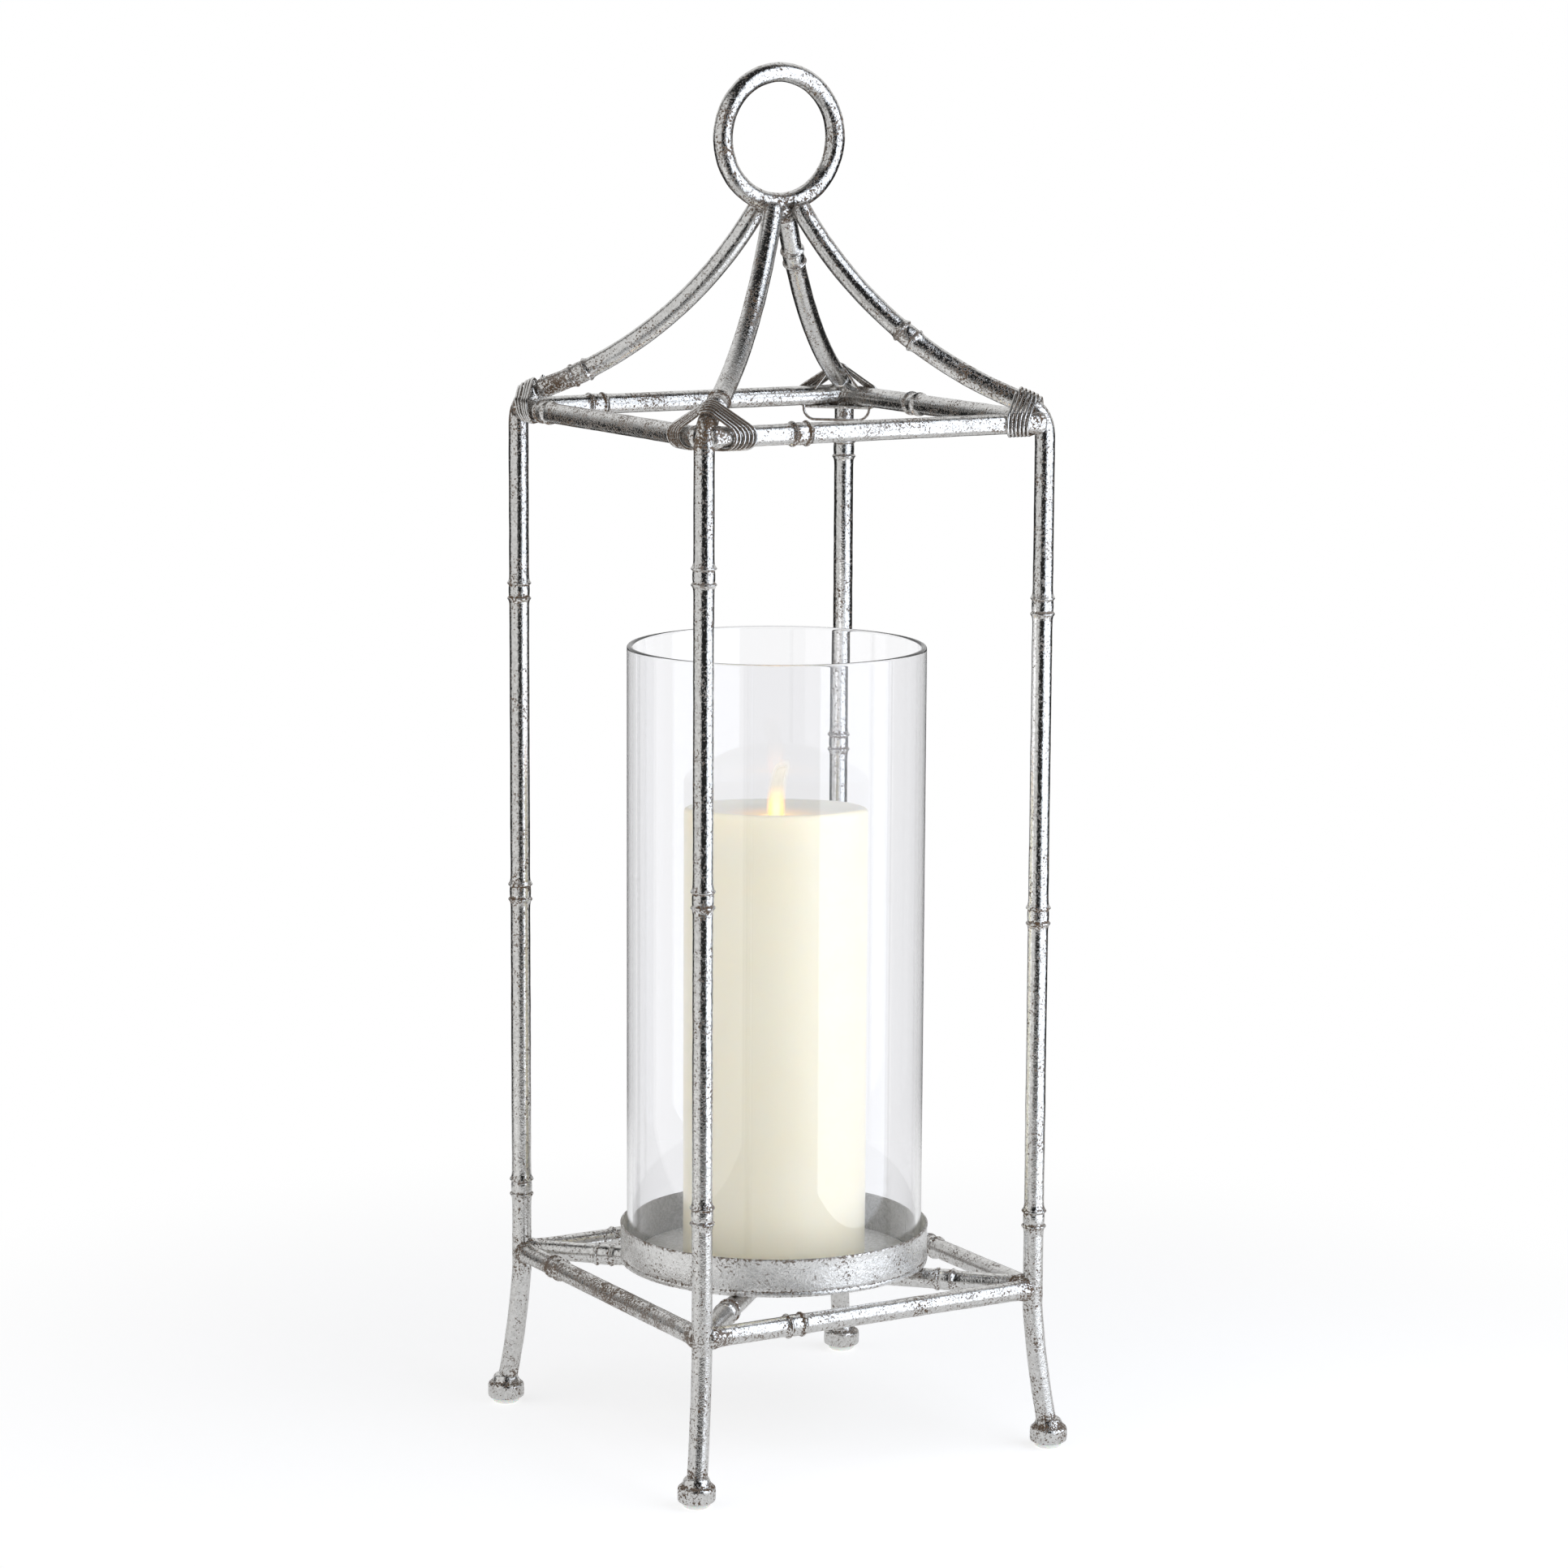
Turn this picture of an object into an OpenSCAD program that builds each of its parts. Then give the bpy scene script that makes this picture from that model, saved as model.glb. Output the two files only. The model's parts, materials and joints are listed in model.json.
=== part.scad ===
// Hurricane candle lantern: a square cage of iron rods cast to look like bamboo,
// with a pagoda roof, a hanging ring, a round tray on a cross brace, an open glass
// cylinder and a battery candle whose flame sways on a wire.
// Origin: middle of the footprint, on the floor. +Z is up, +X runs along the
// front-right rail. Millimetres.

/* [Cage] */
// Distance between the axes of two neighbouring posts
cage_w = 182.5; // [176:0.5:200]
// Height of the bottom rails' axis above the floor
bottom_rail_z = 78.1; // [70:0.1:90]
// Height of the top rails' axis above the floor
top_rail_z = 495.4; // [480:0.1:520]

/* [Bamboo rods] */
// Diameter of every rod of the cage
rod_d = 10; // [9:0.1:11]
// How far the two lips of a bamboo joint stand proud of the rod
lip_h = 0.85; // [0.4:0.05:1.2]
// Distance between the two lips of a bamboo joint
lip_gap = 7.2; // [6:0.1:9]
// Distance between two bamboo joints along a post
joint_pitch = 148; // [140:1:150]
// Gap left for the weld where one rod's end is shaped to sit on another
weld_gap = 0.05; // [0.02:0.01:0.2]

/* [Roof] */
// Height above the floor at which a post starts to bend inwards
bend_z = 490.8; // [488:0.1:492]
// Radius of the bend at the top of a post, at the rod's axis
bend_r = 14; // [13:0.5:16]
// Slope of the roof rib where it leaves the post's bend, in degrees
eave_slope = 19; // [17:0.5:21]
// Slope of the roof rib at the crown, in degrees
crown_slope = 59.5; // [58.5:0.1:60]
// Radius of the hollow curve of a roof rib
rib_r = 205; // [202:1:207]

/* [Hanging ring] */
// Radius of the ring at the middle of its rod
ring_r = 30.4; // [29:0.1:32]
// Diameter of the ring's rod
ring_rod_d = 9.4; // [8:0.1:10]
// Height of the ring's centre above the floor
ring_z = 625.4; // [624:0.1:628]

/* [Corner lashing] */
// Turns of tie wire at the front, right and back top corners; the left one has one fewer
turns = 6; // [4:1:6]
// Thickness of the tie wire
wire_t = 1.4; // [1:0.1:1.4]
// Distance from one turn to the next along the corner's diagonal
wire_pitch = 1.5; // [1.45:0.05:1.6]
// Distance of the first turn from the post's axis
first_turn = 5.8; // [5.8:0.1:6.5]

/* [Legs and feet] */
// Height of the weld between post and leg
leg_top_z = 70; // [66:0.5:71]
// Lean of the leg at its top, in degrees
leg_lean = 4; // [2:0.5:5]
// Radius of the leg's outward curve
leg_r = 450; // [400:10:600]
// Diameter of the forged foot collar
foot_d = 17.3; // [15:0.1:20]
// Height of the top of the collar's straight part
foot_top_z = 10.6; // [9:0.1:12]
// Diameter of the rubber bumper
bumper_d = 13.4; // [11:0.1:15]
// Height of the rubber bumper
bumper_h = 3; // [2:0.1:4]

/* [Tray] */
// Outer diameter of the tray's rim
tray_d = 149.8; // [148:0.1:160]
// Height of the tray's rim
tray_h = 18.4; // [12:0.1:24]
// Thickness of the tray's sheet iron rim
tray_t = 1; // [0.8:0.1:1.4]
// Thickness of the tray's floor
floor_t = 1.2; // [1:0.1:1.6]
// How far the cross brace's axis lies above the bottom rails' axis
brace_rise = 1.2; // [0.6:0.1:3]

/* [Glass] */
// Outer diameter of the glass cylinder
glass_d = 143.3; // [130:0.1:144]
// Height of the glass cylinder
glass_h = 300; // [250:1:310]
// Wall of the glass cylinder
glass_t = 2.6; // [2:0.1:4]

/* [Candle] */
// Diameter of the wax pillar
candle_d = 88.9; // [86:0.1:92]
// Height of the wax pillar
candle_h = 225; // [215:1:230]
// Thickness of the wax round the inner sleeve
wax_t = 4.25; // [4:0.05:4.5]
// Radius of the hole that the flame stands in
flame_hole_r = 8; // [7.5:0.1:9]

/* [Flame] */
// Depth of the flame's pivot below the top of the wax
pivot_depth = 25; // [24:0.5:26]
// Height of the flame's tip above the pivot
flame_tip = 45; // [40:1:48]
// Greatest width of the flame
flame_w = 13; // [9:0.5:14]
// Thickness of the flame's plastic film
flame_t = 0.8; // [0.5:0.1:1]

/* [Batteries] */
// Diameter of a size C cell
cell_d = 26.2; // [25.5:0.1:26.2]
// Length of a size C cell without its terminal
cell_h = 48.5; // [47:0.1:48.6]

/* [Hidden] */
$fn = 48;
eps = 0.01;

// Cage
rod_r = rod_d / 2;
half_w = cage_w / 2;
post_s = half_w * sqrt(2);            // a post's axis from the lantern's axis
corner_turn = [225, 315, 45, 135];    // front, right, back, left
post_first_joint = [137, 113, 172, 111];
corner_turns = [turns, turns, turns, turns - 1];
rib_joint_slope = [22.6, 37, 51, 25.6];   // slope of the rib at its bamboo joint
top_joint_at = [0.27, 0.63, 0.77, 0.16];  // along the rail, from its first post
bottom_joint_at = [0.27, 0.5, 0.7, 0.21];
brace_joint_s = 86;                   // bamboo joint of a brace, from the lantern's axis
brace_z = bottom_rail_z + brace_rise;

// Roof: the post's bend turns from upright to the slope of the eave
bend_turn = 90 - eave_slope;
eave_s = post_s - bend_r * (1 - cos(bend_turn));
eave_z = bend_z + bend_r * sin(bend_turn);
rib_centre_s = eave_s + rib_r * sin(eave_slope);
rib_centre_z = eave_z + rib_r * cos(eave_slope);

// Leg
leg_foot_z = foot_top_z - 2;
leg_end_lean = asin(sin(leg_lean) + (leg_top_z - leg_foot_z) / leg_r);
leg_centre_s = post_s + leg_r * cos(leg_lean);
leg_centre_z = leg_top_z + leg_r * sin(leg_lean);
foot_s = leg_centre_s - leg_r * cos(leg_end_lean);

// Tray, glass and candle
tray_z = brace_z + rod_r;
tray_floor_z = tray_z + floor_t;
solder_gap = 0.02;
candle_r = candle_d / 2;
sleeve_r = candle_r - wax_t;
sleeve_t = 1.8;
sleeve_gap = 0.2;
base_t = 2.5;
dish_depth = 8;
sleeve_top = candle_h - 13;           // top of the inner sleeve above the candle's base
plate_t = 2;
head_room = 1.5;                      // recess in the wax above the housing screws
pivot_h = candle_h - pivot_depth;

// Mechanism
tube_r = 15;
tube_t = 1.5;
tube_bottom = pivot_h - 36;
tube_top = sleeve_top - plate_t;
flange_r = 20;
flange_t = 2;
screw_circle_r = 17.3;
screw_r = 1;
wire_r = 0.45;
magnet_r = 4;
magnet_h = 3;
stem_w = 4.4;
stem_below = 24;                      // stem's end below the pivot
holder_t = 2;
coil_h = 5;
led_r = 1.5;
led_tilt = 23;

// Battery compartment
cover_r = 31;
cover_gap = 0.3;
cover_lift = 0.4;                     // the cover's face lies this far above the candle's foot
cover_lug_r = 33;
cover_wall_top = 4;
box_bottom = 4.5;
box_top = 57.5;
box_r = 33;
deck_t = 2;
cell_x = 14;
cell_bottom = 4.6;
cell_bore_r = 13.4;
terminal_r = 2.8;
terminal_h = 1.5;
standoff_h = 2.5;
board_z = box_top + standoff_h;
board_r = 28;
board_t = 1.6;

// Switch
switch_y = 35.5;
slot_l = 7.6;
slot_w = 2.4;
slider_l = 2.8;
slider_w = 1.8;

module silver() { color([0.78, 0.78, 0.77]) children(); }

// Turns its children so that +X points out through corner i
module at_corner(i) { rotate([0, 0, corner_turn[i]]) children(); }

// Stands its children, drawn in the XY plane, up in the XZ plane
module upright() { rotate([90, 0, 0]) children(); }

// Half outline of one bamboo joint at height z
function joint_outline(z) = [
    [rod_r, z - lip_gap / 2 - 2.2], [rod_r + lip_h, z - lip_gap / 2 - 0.7],
    [rod_r + lip_h, z - lip_gap / 2 + 0.5], [rod_r + lip_h / 4, z - lip_gap / 2 + 1.6],
    [rod_r + lip_h / 4, z + lip_gap / 2 - 1.6], [rod_r + lip_h, z + lip_gap / 2 - 0.5],
    [rod_r + lip_h, z + lip_gap / 2 + 0.7], [rod_r, z + lip_gap / 2 + 2.2]];

// Straight rod along +Z with bamboo joints at the heights in list joints
module bamboo_rod(length, joints) {
    rotate_extrude()
        polygon(concat([[0, 0], [rod_r, 0]],
                       [for (z = joints) each joint_outline(z)],
                       [[rod_r, length], [0, length]]));
}

// Collar that makes a bamboo joint on a curved rod
module joint_collar() {
    sunk = rod_r - 0.5;
    z = lip_gap / 2;
    rotate_extrude()
        polygon([[0, -z - 3], [sunk, -z - 3], [rod_r + lip_h, -z - 0.7], [rod_r + lip_h, -z + 0.5],
                 [rod_r + lip_h / 4, -z + 1.6], [rod_r + lip_h / 4, z - 1.6],
                 [rod_r + lip_h, z - 0.5], [rod_r + lip_h, z + 0.7], [sunk, z + 3], [0, z + 3]]);
}

// The post's bend, as an arc of rod of radius r
module post_bend(r) {
    translate([post_s - bend_r, 0, bend_z])
        upright()
            rotate_extrude(angle = bend_turn)
                translate([bend_r, 0]) circle(r = r);
}

module post(i) {
    first = post_first_joint[i] - leg_top_z;
    silver() at_corner(i) {
        translate([post_s, 0, leg_top_z])
            bamboo_rod(bend_z - leg_top_z, [first, first + joint_pitch, first + 2 * joint_pitch]);
        post_bend(rod_r);
    }
}

module roof_rib(i) {
    slope = rib_joint_slope[i];
    silver() difference() {
        at_corner(i) {
            translate([rib_centre_s, 0, rib_centre_z])
                upright()
                    rotate_extrude(angle = crown_slope - eave_slope, start = 270 - crown_slope)
                        translate([rib_r, 0]) circle(r = rod_r);
            translate([rib_centre_s - rib_r * sin(slope), 0, rib_centre_z - rib_r * cos(slope)])
                rotate([0, slope - 90, 0]) joint_collar();
        }
        ring_rod(ring_rod_d / 2 + weld_gap);
    }
}

module ring_rod(r) {
    translate([0, 0, ring_z])
        upright()
            rotate_extrude($fn = 96)
                translate([ring_r, 0]) circle(r = r);
}

module hanging_ring() { silver() ring_rod(ring_rod_d / 2); }

// Rod from post to post along the cage's front-right side, with mitred, saddle-cut ends
module side_rod(z, joint_at) {
    reach = half_w + rod_d;
    difference() {
        intersection() {
            translate([-half_w, -half_w, z])
                rotate([0, 90, 0]) bamboo_rod(cage_w, [joint_at * cage_w]);
            translate([0, 0, z - rod_d])
                linear_extrude(2 * rod_d)
                    polygon([[-reach, -reach], [reach, -reach], [rod_d, -rod_d], [-rod_d, -rod_d]]);
        }
        for (i = [0, 1])
            at_corner(i)
                translate([post_s, 0, z - rod_d]) cylinder(r = rod_r + weld_gap, h = 2 * rod_d);
    }
}

module bottom_rail(i) {
    silver() rotate([0, 0, 90 * i]) side_rod(bottom_rail_z, bottom_joint_at[i]);
}

module top_rail(i) {
    silver() difference() {
        rotate([0, 0, 90 * i]) side_rod(top_rail_z, top_joint_at[i]);
        at_corner(i) post_bend(rod_r + weld_gap);
        at_corner((i + 1) % 4) post_bend(rod_r + weld_gap);
    }
}

// What a brace's end is cut to at corner i: the post and its two rails
module corner_saddle(i) {
    at_corner(i) {
        translate([post_s, 0, leg_top_z]) cylinder(r = rod_r + weld_gap, h = 2 * rod_d);
        for (turn = [135, 225])
            translate([post_s, 0, bottom_rail_z])
                rotate([0, 90, turn]) cylinder(r = rod_r + weld_gap, h = 4 * rod_d);
    }
}

module cross_brace_long() {
    silver() difference() {
        at_corner(1) translate([-post_s, 0, brace_z])
            rotate([0, 90, 0])
                bamboo_rod(2 * post_s, [post_s - brace_joint_s, post_s + brace_joint_s]);
        corner_saddle(1);
        corner_saddle(3);
    }
}

module cross_brace_half(i) {
    silver() difference() {
        at_corner(i) translate([0, 0, brace_z])
            rotate([0, 90, 0]) bamboo_rod(post_s, [brace_joint_s]);
        corner_saddle(i);
        at_corner(1) translate([-2 * rod_d, 0, brace_z])
            rotate([0, 90, 0]) cylinder(r = rod_r + weld_gap, h = 4 * rod_d);
    }
}

module leg(i) {
    start_turn = 179;
    silver() at_corner(i) {
        intersection() {
            translate([leg_centre_s, 0, leg_centre_z])
                upright()
                    rotate_extrude(angle = 1 + leg_end_lean, start = start_turn, $fn = 360)
                        translate([leg_r, 0]) circle(r = rod_r);
            translate([post_s - rod_d, -rod_d, 0]) cube([3 * rod_d, 2 * rod_d, leg_top_z]);
        }
        translate([foot_s, 0, 0]) foot_collar();
    }
}

module foot_collar() {
    r = foot_d / 2;
    rotate_extrude()
        polygon([[0, bumper_h], [r - 1, bumper_h], [r, bumper_h + 1.2], [r, foot_top_z - 1],
                 [r - 1, foot_top_z + 0.6], [rod_r + 0.6, foot_top_z + 4.6], [0, foot_top_z + 4.6]]);
}

module foot_bumper(i) {
    r = bumper_d / 2;
    color([0.86, 0.86, 0.82]) at_corner(i) translate([foot_s, 0, 0])
        rotate_extrude()
            polygon([[0, 0], [r - 2, 0], [r - 0.6, 0.8], [r, 2], [r, bumper_h], [0, bumper_h]]);
}

// Tie wire: each turn is a closed rounded triangle, over the rod and under both rails
function arc_points(c, r, from, to, n = 8) =
    [for (k = [0 : n]) let (t = from + (to - from) * k / n) [c[0] + r * cos(t), c[1] + r * sin(t)]];

// Height of the top of the bent rod at distance d inwards from the post's axis
function rod_top(d) =
    let (bend_x = bend_r - d, outer = bend_r + rod_r)
    bend_x > outer * cos(bend_turn) ? bend_z + sqrt(outer * outer - bend_x * bend_x)
    : let (r = rib_r - rod_r, ds = rib_centre_s - (post_s - d)) rib_centre_z - sqrt(r * r - ds * ds);

// Outline r outside the triangle of the top point [0, top] and the low points [±side, low]
function turn_outline(top, side, low, r) =
    let (tilt = atan2(side, top - low))
    concat(arc_points([0, top], r, 180 - tilt, tilt),
           arc_points([side, low], r, tilt, -90),
           arc_points([-side, low], r, 270, 180 - tilt));

module tie_wire(i) {
    loose = 5.8;
    clear = 0.06;
    rail_half_width = rod_r * sqrt(2);
    color([0.6, 0.6, 0.58]) at_corner(i)
        for (k = [0 : corner_turns[i] - 1]) {
            d = first_turn + k * wire_pitch;
            inner = d + wire_t / 2;
            top = rod_top(inner) + clear - loose;
            side = inner + rail_half_width + clear - loose;
            low = top_rail_z - rod_r - clear + loose;
            translate([post_s - d - wire_t / 2, 0, 0])
                rotate([90, 0, 90])
                    linear_extrude(wire_t)
                        difference() {
                            polygon(turn_outline(top, side, low, loose + wire_t));
                            polygon(turn_outline(top, side, low, loose));
                        }
        }
}

module tray_rim() {
    silver() translate([0, 0, tray_z])
        difference() {
            cylinder(d = tray_d, h = tray_h, $fn = 120);
            translate([0, 0, -1]) cylinder(r = tray_d / 2 - tray_t, h = tray_h + 2, $fn = 120);
        }
}

module tray_floor() {
    silver() translate([0, 0, tray_z])
        cylinder(r = tray_d / 2 - tray_t - solder_gap, h = floor_t, $fn = 120);
}

module glass_cylinder() {
    color([0.85, 0.92, 0.95, 0.3]) translate([0, 0, tray_floor_z])
        difference() {
            cylinder(d = glass_d, h = glass_h, $fn = 120);
            translate([0, 0, -1]) cylinder(r = glass_d / 2 - glass_t, h = glass_h + 2, $fn = 120);
        }
}

// The candle's pieces are drawn with their foot at height 0
module in_candle() { translate([0, 0, tray_floor_z]) children(); }

module tube(r, t, from, to) {
    difference() {
        translate([0, 0, from]) cylinder(r = r, h = to - from, $fn = 96);
        translate([0, 0, from - 1]) cylinder(r = r - t, h = to - from + 2, $fn = 96);
    }
}

module disc(r, from, to) { translate([0, 0, from]) cylinder(r = r, h = to - from, $fn = 96); }

module wax_shell() {
    bore = sleeve_r + sleeve_gap;
    dish = candle_h - dish_depth;
    color([0.96, 0.93, 0.83]) in_candle()
        rotate_extrude($fn = 96)
            polygon([[bore, 0], [candle_r, 0], [candle_r, candle_h - 2.5],
                     [candle_r - 0.8, candle_h - 0.6], [candle_r - 2.5, candle_h],
                     [candle_r - 4.5, candle_h - 0.8], [candle_r - 8.5, candle_h - 3.5],
                     [candle_r - 16, candle_h - 6], [flame_hole_r + 2, dish + 0.3],
                     [flame_hole_r, dish - 0.2], [flame_hole_r, sleeve_top + head_room],
                     [flange_r + 2, sleeve_top + head_room], [flange_r + 2, sleeve_top],
                     [bore, sleeve_top]]);
}

module inner_sleeve() {
    color([0.93, 0.93, 0.9]) in_candle() tube(sleeve_r, sleeve_t, base_t, sleeve_top);
}

module base_plate() {
    color([0.9, 0.9, 0.86]) in_candle()
        difference() {
            disc(sleeve_r, 0, base_t);
            disc(cover_r + cover_gap, -1, base_t + 1);
            translate([-slot_l / 2, switch_y - slot_w / 2, -1]) cube([slot_l, slot_w, base_t + 2]);
        }
}

module battery_box() {
    color([0.2, 0.2, 0.2]) in_candle() {
        difference() {
            disc(box_r, box_bottom, box_top);
            for (x = [-cell_x, cell_x])
                translate([x, 0, box_bottom - 1])
                    cylinder(r = cell_bore_r, h = box_top - deck_t - box_bottom + 1);
        }
        for (turn = [30 : 120 : 270])
            rotate([0, 0, turn]) translate([24, 0, box_top - eps])
                cylinder(r = 2.5, h = standoff_h + eps);
    }
}

module battery_cells() {
    color([0.75, 0.55, 0.3]) in_candle()
        for (x = [-cell_x, cell_x])
            translate([x, 0, cell_bottom]) {
                cylinder(d = cell_d, h = cell_h);
                cylinder(r = terminal_r, h = cell_h + terminal_h);
            }
}

module contact_leaves() {
    leaf_t = 0.4;
    leaf_z = cell_bottom + cell_h + terminal_h + 0.2;
    color([0.85, 0.75, 0.45]) in_candle()
        for (x = [-cell_x, cell_x])
            translate([x, 0, leaf_z]) {
                translate([-4.5, -4.5, 0]) cube([9, 9, leaf_t]);
                translate([-2, 4.4, 0]) rotate([-12, 0, 0]) cube([4, 4, leaf_t]);
            }
}

module circuit_board() {
    color([0.1, 0.4, 0.2]) in_candle()
        difference() {
            disc(board_r, board_z, board_z + board_t);
            for (x = [-3, 3])
                translate([x, 5, board_z - 1]) cylinder(r = 0.6, h = board_t + 2);
        }
}

module board_components() {
    top = board_z + board_t;
    color([0.12, 0.12, 0.12]) in_candle() {
        translate([-4, -3, top]) cube([8, 5, 1.6]);
        translate([12, -6, top]) cylinder(r = 3, h = 8);
        translate([-14, 4, top]) cylinder(r = 2.2, h = 6);
        for (x = [-12, -8]) translate([x, -14, top]) cube([2, 1.2, 0.8]);
    }
}

module lead_wires() {
    color([0.7, 0.1, 0.1]) in_candle()
        for (x = [-3, 3])
            translate([x, 5, board_z]) cylinder(r = 0.5, h = tube_bottom - board_z, $fn = 16);
}

module switch_body() {
    body_h = 5.5;
    cavity_h = 1.9;
    color([0.15, 0.15, 0.15]) in_candle()
        difference() {
            translate([-5.5, 33.4, base_t]) cube([11, 4.2, body_h]);
            translate([-slot_l / 2, switch_y - slot_w / 2, base_t - 1])
                cube([slot_l, slot_w, cavity_h + 1]);
        }
}

module switch_slider() {
    foot_lift = 0.6;
    top = base_t + 1.5;
    color([0.1, 0.1, 0.1]) in_candle()
        translate([-slot_l / 2 + 0.4, switch_y - slider_w / 2, foot_lift])
            cube([slider_l, slider_w, top - foot_lift]);
}

module battery_cover() {
    color([0.9, 0.9, 0.86]) in_candle() {
        difference() {
            disc(cover_r, cover_lift, cover_wall_top);
            disc(cover_r - 2, base_t, cover_wall_top + 1);
            for (y = [-7, 4]) translate([-9, y, 0]) cube([18, 3, 1.4]);
        }
        intersection() {
            tube(cover_lug_r, cover_lug_r - cover_r + 1, base_t + 0.1, cover_wall_top);
            for (turn = [0 : 120 : 240])
                rotate([0, 0, turn]) translate([cover_r - 2, -4, 0]) cube([6, 8, 6]);
        }
    }
}

module contact_ring() {
    color([0.85, 0.75, 0.45]) in_candle()
        rotate_extrude()
            polygon([[8, base_t], [20, base_t], [20, base_t + 0.5], [16, base_t + 0.5],
                     [14.5, base_t + 1.9], [13.5, base_t + 1.9], [12, base_t + 0.5], [8, base_t + 0.5]]);
}

// Positions of the housing screws
module screw_places() {
    for (turn = [60 : 120 : 300])
        rotate([0, 0, turn]) translate([screw_circle_r, 0, 0]) children();
}

module top_plate() {
    color([0.93, 0.93, 0.9]) in_candle()
        difference() {
            disc(sleeve_r - sleeve_t - 0.1, tube_top, sleeve_top);
            disc(tube_r - tube_t, tube_top - 1, sleeve_top + 1);
            screw_places() translate([0, 0, tube_top - 1]) cylinder(r = screw_r + 0.3, h = plate_t + 2);
        }
}

module mechanism_tube() {
    color([0.85, 0.85, 0.82]) in_candle()
        difference() {
            union() {
                disc(tube_r, tube_bottom, tube_top);
                disc(flange_r, tube_top - flange_t, tube_top);
            }
            disc(tube_r - tube_t, tube_bottom - 1, tube_top + 1);
            screw_places() translate([0, 0, tube_top - flange_t - 1])
                cylinder(r = screw_r + 0.1, h = flange_t + 2);
            translate([0, tube_r + 1, pivot_h])
                rotate([90, 0, 0]) cylinder(r = wire_r + 0.05, h = 2 * tube_r + 2, $fn = 24);
        }
}

module housing_screws() {
    head_r = 2;
    head_h = 1.2;
    color([0.7, 0.7, 0.7]) in_candle()
        screw_places() {
            translate([0, 0, tube_top - flange_t - 2]) cylinder(r = screw_r, h = sleeve_top - tube_top + 4);
            translate([0, 0, sleeve_top]) cylinder(r = head_r, h = head_h);
        }
}

module pivot_wire() {
    color([0.7, 0.7, 0.7]) in_candle()
        translate([0, tube_r - 0.2, pivot_h])
            rotate([90, 0, 0]) cylinder(r = wire_r, h = 2 * tube_r - 0.4, $fn = 24);
}

module coil_holder() {
    color([0.85, 0.85, 0.82]) in_candle() disc(tube_r - tube_t - 0.1, tube_bottom, tube_bottom + holder_t);
}

module drive_coil() {
    color([0.75, 0.4, 0.2]) in_candle()
        tube(8, 4.5, tube_bottom + holder_t, tube_bottom + holder_t + coil_h);
}

module led() {
    lens_h = 3.5;
    color([0.95, 0.85, 0.6]) in_candle()
        translate([0, -9.5, pivot_h + 5.4]) rotate([-led_tilt, 0, 0]) {
            cylinder(r = led_r + 0.4, h = 1);
            cylinder(r = led_r, h = lens_h);
            translate([0, 0, lens_h]) sphere(r = led_r);
        }
}

module led_holder() {
    color([0.85, 0.85, 0.82]) in_candle()
        intersection() {
            disc(tube_r - tube_t - 0.1, pivot_h + 2, pivot_h + 4.4);
            translate([-3, -tube_r, 0]) cube([6, 8, candle_h]);
        }
}

// Half outline of the flame and its stem, from the pivot
function flame_side(x) = [[x * stem_w / 2, -stem_below], [x * stem_w / 2, flame_tip * 0.3],
    [x * flame_w * 0.26, flame_tip * 0.4], [x * flame_w * 0.43, flame_tip * 0.53],
    [x * flame_w * 0.5, flame_tip * 0.64], [x * flame_w * 0.43, flame_tip * 0.77],
    [x * flame_w * 0.25, flame_tip * 0.9], [x * flame_w * 0.05, flame_tip]];

module flame_blade() {
    left = flame_side(-1);
    count = len(left);
    color([1, 0.85, 0.55]) in_candle()
        translate([0, flame_t / 2, pivot_h])
            upright()
                linear_extrude(flame_t)
                    difference() {
                        polygon(concat(flame_side(1), [for (k = [1 : count]) left[count - k]]));
                        circle(r = wire_r + 0.15, $fn = 24);
                    }
}

module flame_magnet() {
    color([0.5, 0.5, 0.5]) in_candle()
        translate([0, 0, pivot_h - stem_below - magnet_h]) cylinder(r = magnet_r, h = magnet_h);
}

post(0);  // post_front
post(1);  // post_right
post(2);  // post_back
post(3);  // post_left
roof_rib(0);  // roof_rib_front
roof_rib(1);  // roof_rib_right
roof_rib(2);  // roof_rib_back
roof_rib(3);  // roof_rib_left
top_rail(0);  // top_rail_front_right
top_rail(1);  // top_rail_back_right
top_rail(2);  // top_rail_back_left
top_rail(3);  // top_rail_front_left
bottom_rail(0);  // bottom_rail_front_right
bottom_rail(1);  // bottom_rail_back_right
bottom_rail(2);  // bottom_rail_back_left
bottom_rail(3);  // bottom_rail_front_left
leg(0);  // leg_front
leg(1);  // leg_right
leg(2);  // leg_back
leg(3);  // leg_left
foot_bumper(0);  // foot_bumper_front
foot_bumper(1);  // foot_bumper_right
foot_bumper(2);  // foot_bumper_back
foot_bumper(3);  // foot_bumper_left
tie_wire(0);  // tie_wire_front
tie_wire(1);  // tie_wire_right
tie_wire(2);  // tie_wire_back
tie_wire(3);  // tie_wire_left
cross_brace_long();
cross_brace_half(0);  // cross_brace_front
cross_brace_half(2);  // cross_brace_back
hanging_ring();
tray_rim();
tray_floor();
glass_cylinder();
wax_shell();
inner_sleeve();
base_plate();
battery_box();
battery_cells();
contact_leaves();
circuit_board();
board_components();
lead_wires();
switch_body();
top_plate();
mechanism_tube();
housing_screws();
pivot_wire();
coil_holder();
drive_coil();
led();
led_holder();
flame_blade();
flame_magnet();
battery_cover();
contact_ring();
switch_slider();
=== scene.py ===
"""Hurricane candle lantern: the looks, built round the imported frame.

Every piece is made in metres, in the frame's own place. The rods of the cage are drawn
out straight, bent, and dented; the rest is turned or wound.
"""

import json
import random
from math import asin, atan2, cos, degrees, dist, exp, hypot, pi, radians, sin, sqrt

import bpy
from mathutils import Matrix, Vector


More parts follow.
